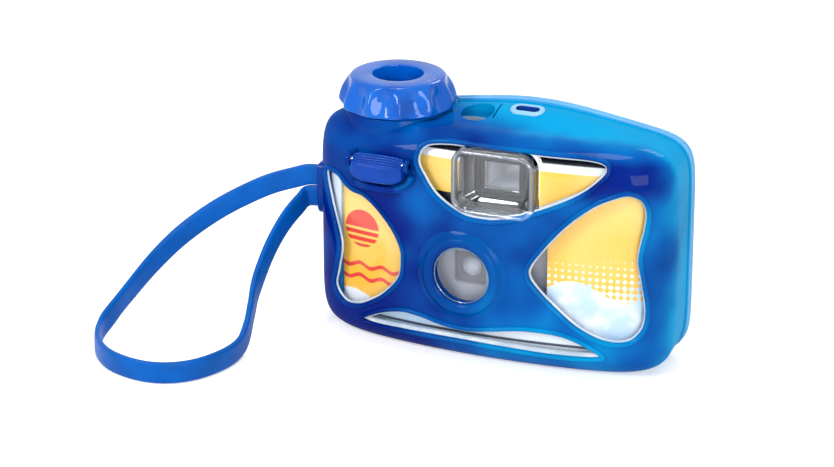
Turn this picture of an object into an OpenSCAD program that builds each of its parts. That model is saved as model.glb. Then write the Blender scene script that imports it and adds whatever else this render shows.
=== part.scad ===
// Waterproof single-use film camera: a sealed two-shell case with clear windows, a sealed
// wind-on knob and shutter lever, a rubber wrist strap, and the plain film camera inside.
// +X is right seen from the front, the front faces -Y, +Z is up, and the base is at z = 0.

/* [Case] */
// Width of the case
case_w = 122; // [112:1:134]
// Height of the case without the hump and the knob
case_h = 76.5; // [75:0.5:84]
// Depth of the case at its middle
case_d = 40; // [39:0.5:50]
// Wall of both shells
wall = 2.4; // [1.8:0.1:2.8]
// Squareness of the case's outline, where 2 is an ellipse
outline_power = 8.5; // [7:0.5:10]
// Rounding of the front edge
front_round = 11.5; // [9:0.5:13]
// Rounding of the rear edge
rear_round = 4; // [3:0.2:4.2]
// How far the ends of the front sweep back
front_bow = 8; // [5:0.5:8.5]
// Depth of the rear shell
rear_depth = 5; // [5:0.5:7]
// How far the sides draw in towards the parting line
side_draft = 0.9; // [0:0.1:1.2]
// Height of the hump on the rear half of the top
hump_h = 4.8; // [2:0.2:6]
// Thickness of the gasket between the shells
gasket_t = 0.8; // [0.6:0.1:1.2]

/* [Windows] */
// Thickness of the clear window panels
pane_t = 1.4; // [1:0.1:1.8]
// How far a panel reaches under the shell around its opening
pane_lap = 1; // [0.6:0.1:1.1]
// Thickness of the printed card labels
label_t = 0.4; // [0.3:0.1:0.6]
// Radius of the clear disc over the lens
disc_r = 9.6; // [8:0.1:10.5]
// Width of the raised ring round the disc
disc_ring_w = 3.4; // [2.5:0.1:4]
// Width of the clear viewfinder box
finder_w = 28; // [24:0.5:29]
// Height of the clear viewfinder box
finder_h = 21.5; // [18:0.5:22]
// Radius of the counter window in the top
counter_r = 5.4; // [4.5:0.1:6]

/* [Wind-on knob] */
// Largest radius of the knob
knob_r = 19.4; // [17:0.1:21]
// Height of the knob
knob_h = 10.3; // [8:0.1:13]
// Number of finger lobes round the knob
knob_lobes = 11; // [8:1:14]
// Radius of the recess in the top of the knob
knob_recess_r = 8.3; // [6:0.1:9.5]
// Radius of the knob's shaft
shaft_r = 4; // [3:0.1:4.5]
// Radius of the boss under the knob
boss_r = 17; // [14:0.5:18]
// Height of the boss above the case
boss_h = 0.5; // [0.3:0.1:3]

/* [Shutter lever] */
// Width of the shutter lever
lever_w = 18; // [14:0.5:19]
// How far the lever stands out past the middle of the front
lever_out = 3.5; // [3:0.5:6]
// Radius of the lever's pin
lever_pin_r = 1; // [0.8:0.1:1.3]
// Radius of the sealed plunger behind the lever
plunger_r = 1.5; // [1.2:0.1:1.8]

/* [Strap] */
// Width of the rubber strap
strap_w = 7; // [5:0.5:7]
// Thickness of the rubber strap
strap_t = 2; // [1.4:0.1:2.4]

/* [Camera inside] */
// Wall of the inner camera's covers
cover_wall = 1.2; // [1:0.1:1.4]
// Distance from the cassette's axis to the lens axis
gate_pitch = 31.8; // [31:0.1:33]
// Radius of the film cassette
cassette_r = 12; // [11.8:0.1:12.2]
// Radius of the unexposed film roll
roll_r = 9.5; // [7.5:0.1:10]
// Radius of the taking lens
lens_r = 3.6; // [3:0.1:4]

/* [Fits] */
// Running clearance of a shaft or pin in its hole
run_gap = 0.05; // [0.03:0.01:0.1]
// Clearance between pieces that move past each other
move_gap = 0.3; // [0.2:0.05:0.5]
// Clearance between fixed pieces that are seated on each other
seat_gap = 0.05; // [0.03:0.01:0.1]

/* [Hidden] */
$fn = 64;

// Case datums
rear_room = 1;
film_room = 1.2;
film_wrap = 0.4;
half_w = case_w / 2;
mid_z = case_h / 2;
base_sink = 0.6;
knob_back = case_d - wall - rear_room - cover_wall - film_room - cassette_r + film_wrap + knob_r;
case_front = (lever_out - max(case_d, knob_back)) / 2;
case_back = case_front + case_d;
part_y = case_back - rear_depth;
outline_m = 14;
outline_start = 16;
round_steps = 5;
side_steps = 7;
cut_reach = 14;
cut_ahead = 8;
top_inside = case_h - side_draft - wall;
rim_t = 1.2;
rim_out = 0.6;
hump_x = 8;
hump_half = 48;
hump_start = case_front + 14;
hump_run = 16;

// Camera inside: room to the case, and its main planes
front_room = 5.6;
side_room = 5.5;
low_room = 1.6;
top_room = 1.7;
cover_round = 8.5;
front_skin = wall + pane_t + label_t + 6 * seat_gap;
cam_front = case_front + wall + front_room;
cam_back = case_back - wall - rear_room;
cam_half_w = half_w - wall - side_room;
cam_low = wall + low_room;
cam_top = top_inside - top_room;
film_y = cam_back - cover_wall - film_room;
film_t = 0.2;
film_w = 35;
cassette_half = 23.5;
base_t = 1.4;
cassette_lift = 0.4;
film_z = cam_low + cover_wall + base_t + cassette_lift + cassette_half;
deck_z = film_z + cassette_half + move_gap;
deck_t = 1.5;
take_y = film_y - cassette_r + film_wrap;
cam_split = film_y - 9;
post_x = cam_half_w * 0.7;
post_z = mid_z * 0.45;
post_r = 2.5;

// Axes
knob_x = -half_w + 24.5;
lens_x = knob_x + gate_pitch;
lens_z = film_z;
supply_x = lens_x + 32.2;
supply_y = film_y - film_t / 2 - move_gap - roll_r;
sprocket_r = 6;
sprocket_x = lens_x - 12;
sprocket_y = film_y - film_t / 2 - move_gap - sprocket_r;
counter_x = lens_x - 4.1;
counter_y = case_front + 23.1;
dial_x = counter_x - 5.4;
dial_y = counter_y - 3.3;
dial_r = counter_r + 5.1;
dial_z = cam_top - cover_wall - 2.6;
dial_t = 1.5;
indicator_x = lens_x + 11.7;
indicator_y = case_front + 26.5;
finder_x = lens_x + 10.2;
finder_z = case_h - 13.9;

// Lens disc, viewfinder and top windows
disc_rise = 2;
disc_seat = 1.8;
disc_lap = 1.6;
disc_back = case_front + wall + disc_seat;
indicator_w = 11.6;
indicator_d = 6.6;
eyepiece_w = 17;
eyepiece_h = 13;
finder_corner = 5;
finder_tube_w = 14.4;
finder_tube_h = 11.9;
finder_tube_t = 1.2;

// Film transport
hub_r = 5.3;
supply_hub_r = 2.5;
supply_core_r = 4.2;
sprocket_z = lens_z + 14.1;
sprocket_t = 2;
sprocket_shaft_r = 1.6;
dial_shaft_r = 1.5;
wheel_key_r = 2.9;

// Knob and its shaft
knob_n = 132;
knob_lobe = 2.2;
knob_seal_h = 1.8;
knob_seal_w = 1.9;
boss_top = case_h + boss_h;
knob_low = boss_top + move_gap;
knob_top = knob_low + knob_h;
wheel_z = deck_z + deck_t + 1.4;
wheel_t = 2.4;
wheel_r = 12;
key_w = 5;
clip_t = 0.8;
clip_r = shaft_r + 2.6;
clip_top = top_inside - move_gap;

// Lever, plunger and the arm that it pushes
lever_x = knob_x + 3;
plunger_z = wheel_z + wheel_t + plunger_r + 0.4;
lever_arm = 3.4;
lever_pivot_z = plunger_z + lever_arm;
lever_face = case_front + front_bow * pow((lever_x + lever_w / 2) / half_w, 2);
lever_pivot_y = lever_face - 1.9;
lever_tip = case_front - lever_out;
lever_nib_r = 1;
pin_reach = lever_w / 2 + 3;
plunger_head_r = 2.6;
plunger_head_t = 1;
plunger_head_y = lever_pivot_y + 0.3 + lever_nib_r + move_gap;
plunger_well = 2.9;
plunger_boss_r = 4.8;
plunger_boss_y = cam_front - move_gap;
seal_t = 1.4;
seal_r = 3;
arm_y = cam_front + cover_wall + 2.9;
arm_z = plunger_z - 0.6;
arm_t = 1.2;
arm_x = lens_x - 4;
arm_pivot_y = arm_y + 2.7;

// Shutter and lens planes, from the lens board forwards
board_y = cam_front + 8.6;
board_t = 1.5;
blade_t = 0.6;
blade_y = board_y - 0.4 - blade_t;
plate_t = 1;
plate_y = blade_y - 0.4 - plate_t;
lens_t = 2.6;
lens_y = plate_y - lens_t;
pocket_w = 21;
blade_pivot = [lens_x + 7, lens_z + 6];
striker_pivot = [lens_x + 2, lens_z + 18.5];

// Strap route, with x measured from the left wall: out of the lug, down to the floor, round and back up
strap_y = 3.2;
strap_high = 48.6;
strap_low = 41.3;
lug_out = 6.8;
lug_wall = 1;
lug_socket = 5;
strap_end = lug_socket - lug_out - seat_gap;
strap_path = [
  [strap_end, strap_y, strap_high], [-7.4, 3.2, 48.3], [-12.4, 3.2, 46.6], [-21, 2.2, 43.4],
  [-28.7, 0.2, 39.5], [-36.3, -3.8, 35.1], [-43, -8.8, 30.2], [-48.7, -14.8, 24.9],
  [-53.5, -22.8, 18.6], [-56.3, -31.8, 13.1], [-57.8, -41.8, 8.7], [-59, -49, 4.6],
  [-56.1, -57.1, 3.7], [-51.3, -63.7, 3.6], [-45, -68.8, 3.6], [-37.2, -71.8, 3.6],
  [-29.5, -72.5, 3.6], [-22.7, -70.4, 3.6], [-17.1, -65.5, 3.6], [-13.3, -58.3, 3.6],
  [-11.3, -50.1, 3.6], [-11.2, -42.4, 4.2], [-11.6, -37.2, 7.5], [-12.6, -32.1, 11.8],
  [-13.4, -27.1, 17.3], [-13.2, -21.7, 23.4], [-12.5, -15.3, 29.5], [-11.2, -7.8, 35],
  [-9.2, -1.2, 39], [-7.6, 2.5, 40.9], [strap_end, strap_y, strap_low]
];
strap_route = [for (p = strap_path) [p.x - half_w, p.y, p.z]];

// Window outlines: control points, anticlockwise seen from the front.
// The left and right ones are measured from their own end of the case, the top one from its top.
// The heights of the others are those on a case of the height drawn_h, and they follow the case's height.
drawn_h = 76.5;
left_points = [
  [18.2, 12.2], [24.2, 15.2], [29.3, 19.1], [34.2, 25.1], [35.3, 31.4], [34.7, 36.5], [31.4, 42.5],
  [25.7, 48.5], [20.6, 51.8], [16.4, 52.6], [13.4, 54.5], [10.6, 57], [5.8, 57.4], [4.4, 54.5], [7.2, 45.3],
  [10.8, 33.2], [9.7, 24.5], [8.5, 17.4], [12.6, 12.4]
];
right_points = [
  [-19, 13.2], [-11.4, 13.4], [-6.8, 17.6], [-5.6, 24.5], [-6.9, 35], [-7.9, 42.6], [-6.4, 52], [-6, 57.7],
  [-7.8, 62.4], [-12.2, 64.1], [-17.7, 62.3], [-23.7, 59], [-31.8, 52.1], [-39.6, 42.8], [-43.6, 36.6],
  [-43.8, 32.8], [-41.2, 29], [-36, 23.9], [-27.6, 17]
];
top_points = [
  [1.9, -26.8], [9.1, -25.9], [20.5, -21.7], [32.5, -15.7], [39.3, -10.4], [42.4, -5.8], [38, -3.1],
  [21.6, -2.8], [2.3, -2.8], [-11.4, -2.9], [-19.3, -4.6], [-21.3, -9.7], [-18.8, -15.1], [-14, -21.1],
  [-5.6, -25.9]
];
bottom_points = [
  [-42.2, 8.2], [-37, 6.7], [-25.7, 6.9], [-7.8, 7.2], [8.7, 6.9], [25, 6.4], [38.2, 6.8], [42.2, 8.2],
  [37.8, 11.4], [30.2, 14.4], [22.6, 15.2], [14.5, 14.9], [5.2, 13.4], [-2, 12.3], [-10.7, 12.6],
  [-19.4, 14.3], [-26.6, 14.6], [-34.7, 12.4]
];
smooth_steps = 4;

// Point t of the way from b to c on the Catmull-Rom curve through a, b, c, d
function curve_point(a, b, c, d, t) =
  b + t / 2 * (c - a + t * (2 * a - 5 * b + 4 * c - d + t * (3 * (b - c) + d - a)));

// Closed smooth outline through control points
function smooth_loop(p) =
  let (n = len(p))
  [for (i = [0 : n - 1], k = [0 : smooth_steps - 1])
    curve_point(p[i], p[(i + 1) % n], p[(i + 2) % n], p[(i + 3) % n], k / smooth_steps)];

// Anticlockwise outline moved outwards by d
function grow(p, d) =
  let (n = len(p))
  [for (i = [0 : n - 1])
    let (v = p[(i + 1) % n] - p[(i + n - 1) % n])
    p[i] + d * [v.y, -v.x] / norm(v)];

function from_left(p) = [for (q = p) [q.x - half_w, q.y * case_h / drawn_h]];
function from_right(p) = [for (q = p) [q.x + half_w, q.y * case_h / drawn_h]];
function from_top(p) = [for (q = p) [q.x, q.y + case_h]];
function from_base(p) = [for (q = p) [q.x, q.y * case_h / drawn_h]];

left_outline = smooth_loop(from_left(left_points));
right_outline = smooth_loop(from_right(right_points));
top_outline = smooth_loop(from_top(top_points));
bottom_outline = smooth_loop(from_base(bottom_points));

// Superellipse outline of the case, moved inwards by e, as [x, z] points: the upper half from right
// to left, then the lower half back again, so that the points i and last - i lie over each other
function outline(e) =
  [for (half = [1, -1], j = [0 : 2 * outline_m])
    let (
      i = half > 0 ? j : 2 * outline_m - j,
      a = outline_start + (90 - outline_start) * i / outline_m,
      c = cos(a),
      s = half * sin(a),
      k = pow(pow(abs(c), outline_power) + pow(abs(s), outline_power), -1 / outline_power)
    )
    [(half_w - e) * c * k, mid_z + (s > 0 ? mid_z - e : mid_z + base_sink - e) * s * k]];

// Raised-cosine hump over the rear half of the top
function hump(x, y, z) =
  let (
    across = max(0, 1 - abs(x - hump_x) / hump_half),
    back = min(1, max(0, (y - hump_start) / hump_run)),
    high = max(0, (z - mid_z) / mid_z)
  )
  hump_h * (1 - cos(180 * across)) / 2 * (1 - cos(180 * back)) / 2 * pow(high, 6);

function front_at(x) = case_front + front_bow * pow(x / half_w, 2);

// Ring on the rounded front edge: o is the depth under the outer surface, a the angle round the edge
function edge_ring(o, a) =
  let (r = front_round - o)
  [for (p = outline(o + r * (1 - sin(a)))) [p.x, front_at(p.x) + o + r * (1 - cos(a)), p.y]];

// Ring on the side, s of the way from the rounded edge to the plane y_end
function side_ring(o, s, y_end, humped) =
  [for (p = outline(o + side_draft * s))
    let (y = (1 - s) * (front_at(p.x) + front_round) + s * y_end)
    [p.x, y, p.y + (humped ? hump(p.x, y, p.y) : 0)]];

// Ring on the rear shell at the distance back from the parting plane, moved inwards by e
function rear_ring(e, y, humped) =
  [for (p = outline(e + side_draft)) [p.x, y, p.y + (humped ? hump(p.x, y, p.y) : 0)]];

// Skin over a list of rings of equal length, closed at both ends by strips between the points i and last - i
module skin(rings) {
  n = len(rings[0]);
  m = len(rings);
  last = (m - 1) * n;
  sides = [for (j = [0 : m - 2], i = [0 : n - 1])
    let (a = j * n + i, b = j * n + (i + 1) % n)
    each [[a, b, b + n], [a, b + n, a + n]]];
  strips = [for (i = [0 : n / 2 - 2])
    each [[i, i + 1, n - 2 - i], [i, n - 2 - i, n - 1 - i]]];
  ends = [for (t = strips) each [[t[2], t[1], t[0]], [t[0] + last, t[1] + last, t[2] + last]]];
  polyhedron([for (r = rings) each r], concat(sides, [for (t = ends) if (t[0] != t[1] && t[1] != t[2]) t]));
}

// Closed tub of the case's front between the depths o_out and o_in under its outer surface
module front_tub(o_out, o_in, y_end, humped) {
  turns = [for (k = [0 : round_steps]) 90 * k / round_steps];
  skin(concat(
    [for (a = turns) edge_ring(o_out, a)],
    [for (k = [1 : side_steps]) side_ring(o_out, k / side_steps, y_end, humped)],
    [side_ring(o_in, 1, y_end, false)],
    [for (k = [0 : round_steps]) edge_ring(o_in, turns[round_steps - k])]
  ));
}

// Dish of the case's rounded front, without its sides, between the depths o_out and o_in
module front_dish(o_out, o_in) {
  turns = [for (k = [0 : round_steps]) 90 * k / round_steps];
  skin(concat(
    [for (a = turns) edge_ring(o_out, a)],
    [for (k = [0 : round_steps]) edge_ring(o_in, turns[round_steps - k])]
  ));
}

// Solid behind the depth o under the case's rounded front, stepped out to the shell's wall behind it
module front_form(o, step_y) {
  skin(concat(
    [for (k = [0 : round_steps]) edge_ring(o, 90 * k / round_steps)],
    [[for (p = outline(wall)) [p.x, front_at(p.x) + front_round + step_y, p.y]]],
    [side_ring(wall, 1, part_y, false)]
  ));
}

// Extrudes a shape drawn in x and z from y0 to y1
module along_y(y0, y1) {
  translate([0, y1, 0])
    rotate([90, 0, 0])
      linear_extrude(y1 - y0)
        children();
}

// Extrudes a shape drawn in y and z from x0 to x1
module along_x(x0, x1) {
  translate([x0, 0, 0])
    rotate([90, 0, 90])
      linear_extrude(x1 - x0)
        children();
}

// Extrudes a shape drawn in x and y from z0 to z1
module along_z(z0, z1) {
  translate([0, 0, z0])
    linear_extrude(z1 - z0)
      children();
}

module rod_x(y, z, x0, x1, r) {
  along_x(x0, x1)
    translate([y, z])
      circle(r);
}

module rod_y(x, z, y0, y1, r) {
  along_y(y0, y1)
    translate([x, z])
      circle(r);
}

module rod_z(x, y, z0, z1, r) {
  along_z(z0, z1)
    translate([x, y])
      circle(r);
}

module tube_z(x, y, z0, z1, r, bore) {
  along_z(z0, z1)
    translate([x, y])
      difference() {
        circle(r);
        circle(bore);
      }
}

module rounded_rect(w, h, r) {
  square([w - 2 * r, h], center = true);
  square([w, h - 2 * r], center = true);
  for (x = [-1, 1], y = [-1, 1])
    translate([x * (w / 2 - r), y * (h / 2 - r)])
      circle(r);
}

module slot_shape(w, h) {
  square([w - h, h], center = true);
  for (x = [-1, 1])
    translate([x * (w - h) / 2, 0])
      circle(h / 2);
}

// Coil spring with its axis along +Z from the origin
module coil(r, wire_r, turns, height) {
  rings_per_turn = 10;
  sides = 6;
  count = turns * rings_per_turn;
  rise = height - 2 * wire_r;
  skin([for (k = [0 : count])
    let (a = 360 * k / rings_per_turn, z = wire_r + rise * k / count)
    [for (i = [0 : sides - 1])
      let (q = -360 * i / sides, d = r + wire_r * cos(q))
      [d * cos(a), d * sin(a), z + wire_r * sin(q)]]]);
}

// The front shell: a tub with the four window openings, the lens ring, the knob boss and the lever's seat
module front_shell() {
  color([0.0, 0.35, 0.8, 0.8])
    difference() {
      union() {
        front_tub(0, wall, part_y - gasket_t / 2, true);
        rim(part_y - gasket_t / 2 - rim_t, part_y - gasket_t / 2);
        rod_y(lens_x, lens_z, case_front - disc_rise, case_front + wall + disc_seat, disc_r + disc_ring_w);
        knob_boss();
        rod_y(lever_x, plunger_z, lever_face + 0.5, plunger_boss_y, plunger_boss_r);
        lever_seat();
        for (x = [-1, 1])
          translate([x * cam_half_w * 0.6 - 1, cam_front + 4, wall - base_sink - seat_gap])
            cube([2, part_y - cam_front - 6, low_room + base_sink]);
      }
      translate([-case_w, case_front - cut_ahead, -case_h])
        cube([2 * case_w, case_d + 2 * cut_ahead, case_h]);
      translate([-case_w, part_y - gasket_t / 2, 0])
        cube([2 * case_w, case_d, case_h + case_d]);
      knob_scoop();
      for (w = [left_outline, right_outline, top_outline, bottom_outline])
        along_y(case_front - cut_ahead, case_front + cut_reach)
          polygon(w);
      along_y(case_front - cut_ahead, case_front + cut_reach)
        translate([finder_x, finder_z])
          rounded_rect(finder_w + 2 * seat_gap, finder_h + 2 * seat_gap, finder_corner);
      rod_y(lens_x, lens_z, case_front - cut_ahead, case_front + cut_reach, disc_r);
      rod_y(lens_x, lens_z, disc_back - pane_t, case_front + cut_reach, disc_r + disc_lap);
      knob_bore();
      rod_y(lever_x, plunger_z, case_front - cut_ahead, lever_face + plunger_well, plunger_head_r + move_gap);
      rod_y(lever_x, plunger_z, case_front, case_front + cut_reach + wall, plunger_r + run_gap);
      rod_y(lever_x, plunger_z, plunger_boss_y - seal_t, plunger_boss_y + 1, seal_r + seat_gap);
      rod_x(lever_pivot_y, lever_pivot_z, lever_x - pin_reach, lever_x + pin_reach, lever_pin_r + run_gap);
      rod_z(counter_x, counter_y, mid_z, case_h + hump_h + 1, counter_r + seat_gap);
      along_z(mid_z, case_h + hump_h + 1)
        translate([indicator_x, indicator_y])
          slot_shape(indicator_w + 2 * seat_gap, indicator_d + 2 * seat_gap);
    }
}

// Two ears that hold the lever's pin, and the cup-shaped guard under the lever
module lever_seat() {
  ear_t = 1.6;
  ear_r = 2.3;
  guard_low = plunger_z - 6.6;
  for (x = [lever_x - lever_w / 2 - move_gap - ear_t, lever_x + lever_w / 2 + move_gap])
    along_x(x, x + ear_t) {
      translate([lever_pivot_y, lever_pivot_z])
        circle(ear_r);
      translate([lever_pivot_y, lever_pivot_z - ear_r])
        square([front_at(x) + wall * 0.7 - lever_pivot_y, 2 * ear_r]);
    }
  along_z(guard_low, guard_low + 2)
    translate([lever_x, lever_face + wall - 0.6])
      intersection() {
        guard_plan();
        translate([-lever_w, -lever_w])
          square([2 * lever_w, lever_w + 1.4]);
      }
}

// Plan of the guard: a lens shape where two discs overlap
module guard_plan() {
  guard_half = lever_w / 2 + 2;
  guard_out = lever_out + 0.6;
  guard_r = (pow(guard_half, 2) + pow(guard_out, 2)) / (2 * guard_out);
  translate([0, guard_r - guard_out])
    circle(guard_r);
}

// Round boss under the knob, which runs down to the rounded edge of the case in front
module knob_boss() {
  difference() {
    rod_z(knob_x, take_y, case_h - front_round, boss_top, boss_r);
    front_form(wall / 2, move_gap);
  }
}

// Bore for the knob's shaft, with the groove of its seal
module knob_bore() {
  rod_z(knob_x, take_y, mid_z, boss_top + 1, shaft_r + run_gap);
  rod_z(knob_x, take_y, mid_z, top_inside, clip_r + move_gap);
  rod_z(knob_x, take_y, boss_top - knob_seal_h, boss_top + 1, shaft_r + knob_seal_w);
}

// Room for the knob to turn in, over its boss
module knob_scoop() {
  rod_z(knob_x, take_y, boss_top, case_h + case_d, knob_r + 2 * move_gap);
}

module back_shell() {
  color([0.0, 0.45, 0.85, 0.8])
    difference() {
      union() {
        difference() {
          union() {
            rear_tub(0, true, part_y + gasket_t / 2, case_back);
            rim(part_y + gasket_t / 2, part_y + gasket_t / 2 + rim_t);
          }
          rear_tub(wall, false, part_y - 1, case_back - wall);
        }
        for (x = [-1, 1], z = [-1, 1])
          rod_y(x * post_x, mid_z + z * post_z, cam_back + seat_gap, case_back - wall / 2, post_r);
      }
      translate([-case_w, part_y - 1, -case_h])
        cube([2 * case_w, case_d, case_h]);
      knob_scoop();
      along_y(part_y, case_back + 1)
        translate([finder_x, finder_z])
          rounded_rect(eyepiece_w, eyepiece_h, 2);
      along_y(part_y, case_back - wall / 2)
        translate([finder_x, finder_z])
          rounded_rect(eyepiece_w + 2, eyepiece_h + 2, 2);
    }
}

// Rim that stands out round the parting line between y0 and y1
module rim(y0, y1) {
  difference() {
    skin([for (y = [y0, y1]) rear_ring(-rim_out, y, true)]);
    skin([for (y = [y0 - 1, y1 + 1]) rear_ring(wall / 2, y, false)]);
  }
}

// Solid rear form with a rounded back edge, moved inwards by o
module rear_tub(o, humped, y0, y1) {
  r = rear_round - o;
  skin(concat(
    [rear_ring(o, y0, humped)],
    [for (k = [0 : round_steps])
      let (a = 90 * k / round_steps)
      rear_ring(o + r * (1 - cos(a)), y1 - r * (1 - sin(a)), humped)]
  ));
}

module case_gasket() {
  gasket_in = 0.3;
  color([0.02, 0.1, 0.3])
    difference() {
      skin([for (y = [-1, 1]) rear_ring(gasket_in, part_y + y * gasket_t / 2, true)]);
      skin([for (y = [-1, 1]) rear_ring(wall - gasket_in, part_y + y * gasket_t, false)]);
      translate([-half_w, part_y - 2, -case_h])
        cube([case_w, 4, case_h + gasket_in]);
    }
}

// Clear panel behind an opening, following the inside of the shell
module pane(shape) {
  color([0.85, 0.93, 1, 0.35])
    intersection() {
      front_dish(wall + seat_gap, wall + seat_gap + pane_t);
      along_y(case_front - 1, case_front + cut_reach)
        polygon(grow(shape, pane_lap));
    }
}

module window_left() {
  pane(left_outline);
}

module window_right() {
  pane(right_outline);
}

// Clear top panel with the viewfinder moulded in it: a box sunk to a funnel with a pane at its back
module window_top() {
  funnel_d = 8;
  funnel_wall = 1.2;
  funnel_w = 17;
  funnel_h = 14.4;
  funnel_flare = [(finder_w - 4) / funnel_w, (finder_h - 2.4) / funnel_h];
  box_front = case_front - 0.6;
  color([0.85, 0.93, 1, 0.35])
    difference() {
      union() {
        pane(top_outline);
        along_y(box_front, box_front + funnel_d)
          translate([finder_x, finder_z])
            rounded_rect(finder_w, finder_h, finder_corner);
      }
      translate([finder_x, box_front + funnel_d - funnel_wall, finder_z])
        rotate([90, 0, 0])
          linear_extrude(funnel_d, scale = funnel_flare, slices = 1)
            rounded_rect(funnel_w, funnel_h, finder_corner / 2);
    }
}

module window_bottom() {
  pane(bottom_outline);
}

module lens_window() {
  color([0.85, 0.93, 1, 0.35])
    rod_y(lens_x, lens_z, disc_back - pane_t + seat_gap, disc_back, disc_r + disc_lap - seat_gap);
}

module eyepiece_window() {
  color([0.85, 0.93, 1, 0.35])
    along_y(case_back - wall, case_back - wall / 2 - seat_gap)
      translate([finder_x, finder_z])
        rounded_rect(eyepiece_w + 2 - 2 * seat_gap, eyepiece_h + 2 - 2 * seat_gap, 2);
}

module counter_window() {
  color([0.85, 0.93, 1, 0.35]) {
    rod_z(counter_x, counter_y, top_inside - 1.4, case_h, counter_r);
    rod_z(counter_x, counter_y, top_inside - 1.4, top_inside - seat_gap, counter_r + pane_lap);
  }
}

module indicator_window() {
  color([0.7, 0.88, 1, 0.6])
    translate([indicator_x, indicator_y, 0])
      difference() {
        union() {
          along_z(top_inside - seat_gap - 0.01, case_h + hump_h)
            slot_shape(indicator_w, indicator_d);
          along_z(top_inside - 1.4, top_inside - seat_gap)
            slot_shape(indicator_w + 2, indicator_d + 2);
        }
        along_z(case_h - 0.5, case_h + hump_h + 1)
          slot_shape(indicator_w - 3.4, indicator_d - 3.4);
      }
}

// Printed card behind a window, inside its outline and the rectangle from low to high
module label(shape, low, high) {
  o = wall + 2 * seat_gap + pane_t;
  color([1, 0.78, 0.3])
    intersection() {
      front_dish(o, o + label_t);
      along_y(case_front - 1, case_front + cut_reach)
        intersection() {
          polygon(grow(shape, pane_lap));
          translate(low)
            square(high - low);
        }
    }
}

module label_left() {
  label(left_outline, [10.5 - half_w, 0], [0, case_h]);
}

module label_right() {
  label(right_outline, [half_w - 38.5, 0], [half_w, case_h]);
}

module label_bottom() {
  label(bottom_outline, [-half_w, 0], [half_w, mid_z]);
}

module label_top_left() {
  label(top_outline, [-half_w, case_h - 20], [finder_x - finder_w / 2 - seat_gap, case_h]);
}

module label_top_right() {
  label(top_outline, [finder_x + finder_w / 2 + seat_gap, mid_z], [half_w, case_h]);
}

module label_back() {
  label_rim = 2.3;
  label_w = 2 * (post_x + post_r + label_rim);
  label_h = 44;
  label_z = cam_low + 4 + label_h / 2;
  color([1, 0.82, 0.4])
    along_y(cam_back + seat_gap, cam_back + seat_gap + label_t)
      translate([0, label_z])
        difference() {
          rounded_rect(label_w, label_h, 3);
          for (x = [-1, 1], z = [-1, 1])
            translate([x * post_x, mid_z + z * post_z - label_z])
              circle(post_r + 2 * move_gap);
        }
}

// Knob outline at the height z with the radius r and the depth of its lobes
function knob_ring(r, lobe, z) =
  [for (i = [0 : knob_n - 1])
    let (
      a = 360 * i / knob_n,
      d = r - lobe * pow((1 - cos(knob_lobes * a)) / 2, 3)
    )
    [d * cos(a), -d * sin(a), z]];

module advance_knob() {
  recess_d = 6.4;
  color([0.0, 0.43, 0.9])
    translate([knob_x, take_y, knob_low])
      difference() {
        skin([
          knob_ring(shaft_r, 0, 0),
          knob_ring(knob_r - 2.2, 0, 0),
          knob_ring(knob_r - 0.5, knob_lobe * 0.6, 0.5),
          knob_ring(knob_r, knob_lobe, 1.6),
          knob_ring(knob_r - 1, knob_lobe * 1.1, knob_h * 0.5),
          knob_ring(knob_r - 3, knob_lobe, knob_h * 0.86),
          knob_ring(knob_r - 4.2, knob_lobe * 0.5, knob_h * 0.97),
          knob_ring(knob_r - 5.2, 0, knob_h),
          knob_ring(shaft_r, 0, knob_h)
        ]);
        rod_z(0, 0, knob_h - recess_d, knob_h + 1, knob_recess_r);
        rod_z(0, 0, -1, knob_h, shaft_r + seat_gap);
      }
}

module knob_shaft() {
  head_t = 1.2;
  color([0.1, 0.4, 0.8])
    difference() {
      union() {
        rod_z(knob_x, take_y, wheel_z + wheel_t + 1.8, knob_top - 6.4 + seat_gap, shaft_r);
        rod_z(knob_x, take_y, knob_top - 6.4 + seat_gap, knob_top - 6.4 + seat_gap + head_t, shaft_r + 2);
        along_z(wheel_z + 1.2, wheel_z + wheel_t + 1.8)
          translate([knob_x, take_y])
            square(key_w, center = true);
      }
      tube_z(knob_x, take_y, clip_top - clip_t - seat_gap, clip_top + seat_gap, shaft_r + 1, shaft_r - 0.8);
    }
}

module knob_seal() {
  color([0.05, 0.05, 0.06])
    tube_z(
      knob_x, take_y, boss_top - knob_seal_h + seat_gap, boss_top,
      shaft_r + knob_seal_w - seat_gap, shaft_r + run_gap);
}

module knob_clip() {
  color([0.75, 0.76, 0.78])
    along_z(clip_top - clip_t, clip_top)
      translate([knob_x, take_y])
        difference() {
          circle(clip_r);
          circle(shaft_r - 0.8 + seat_gap);
          translate([-shaft_r / 2, 0])
            square([shaft_r, 2 * shaft_r]);
        }
}

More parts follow.
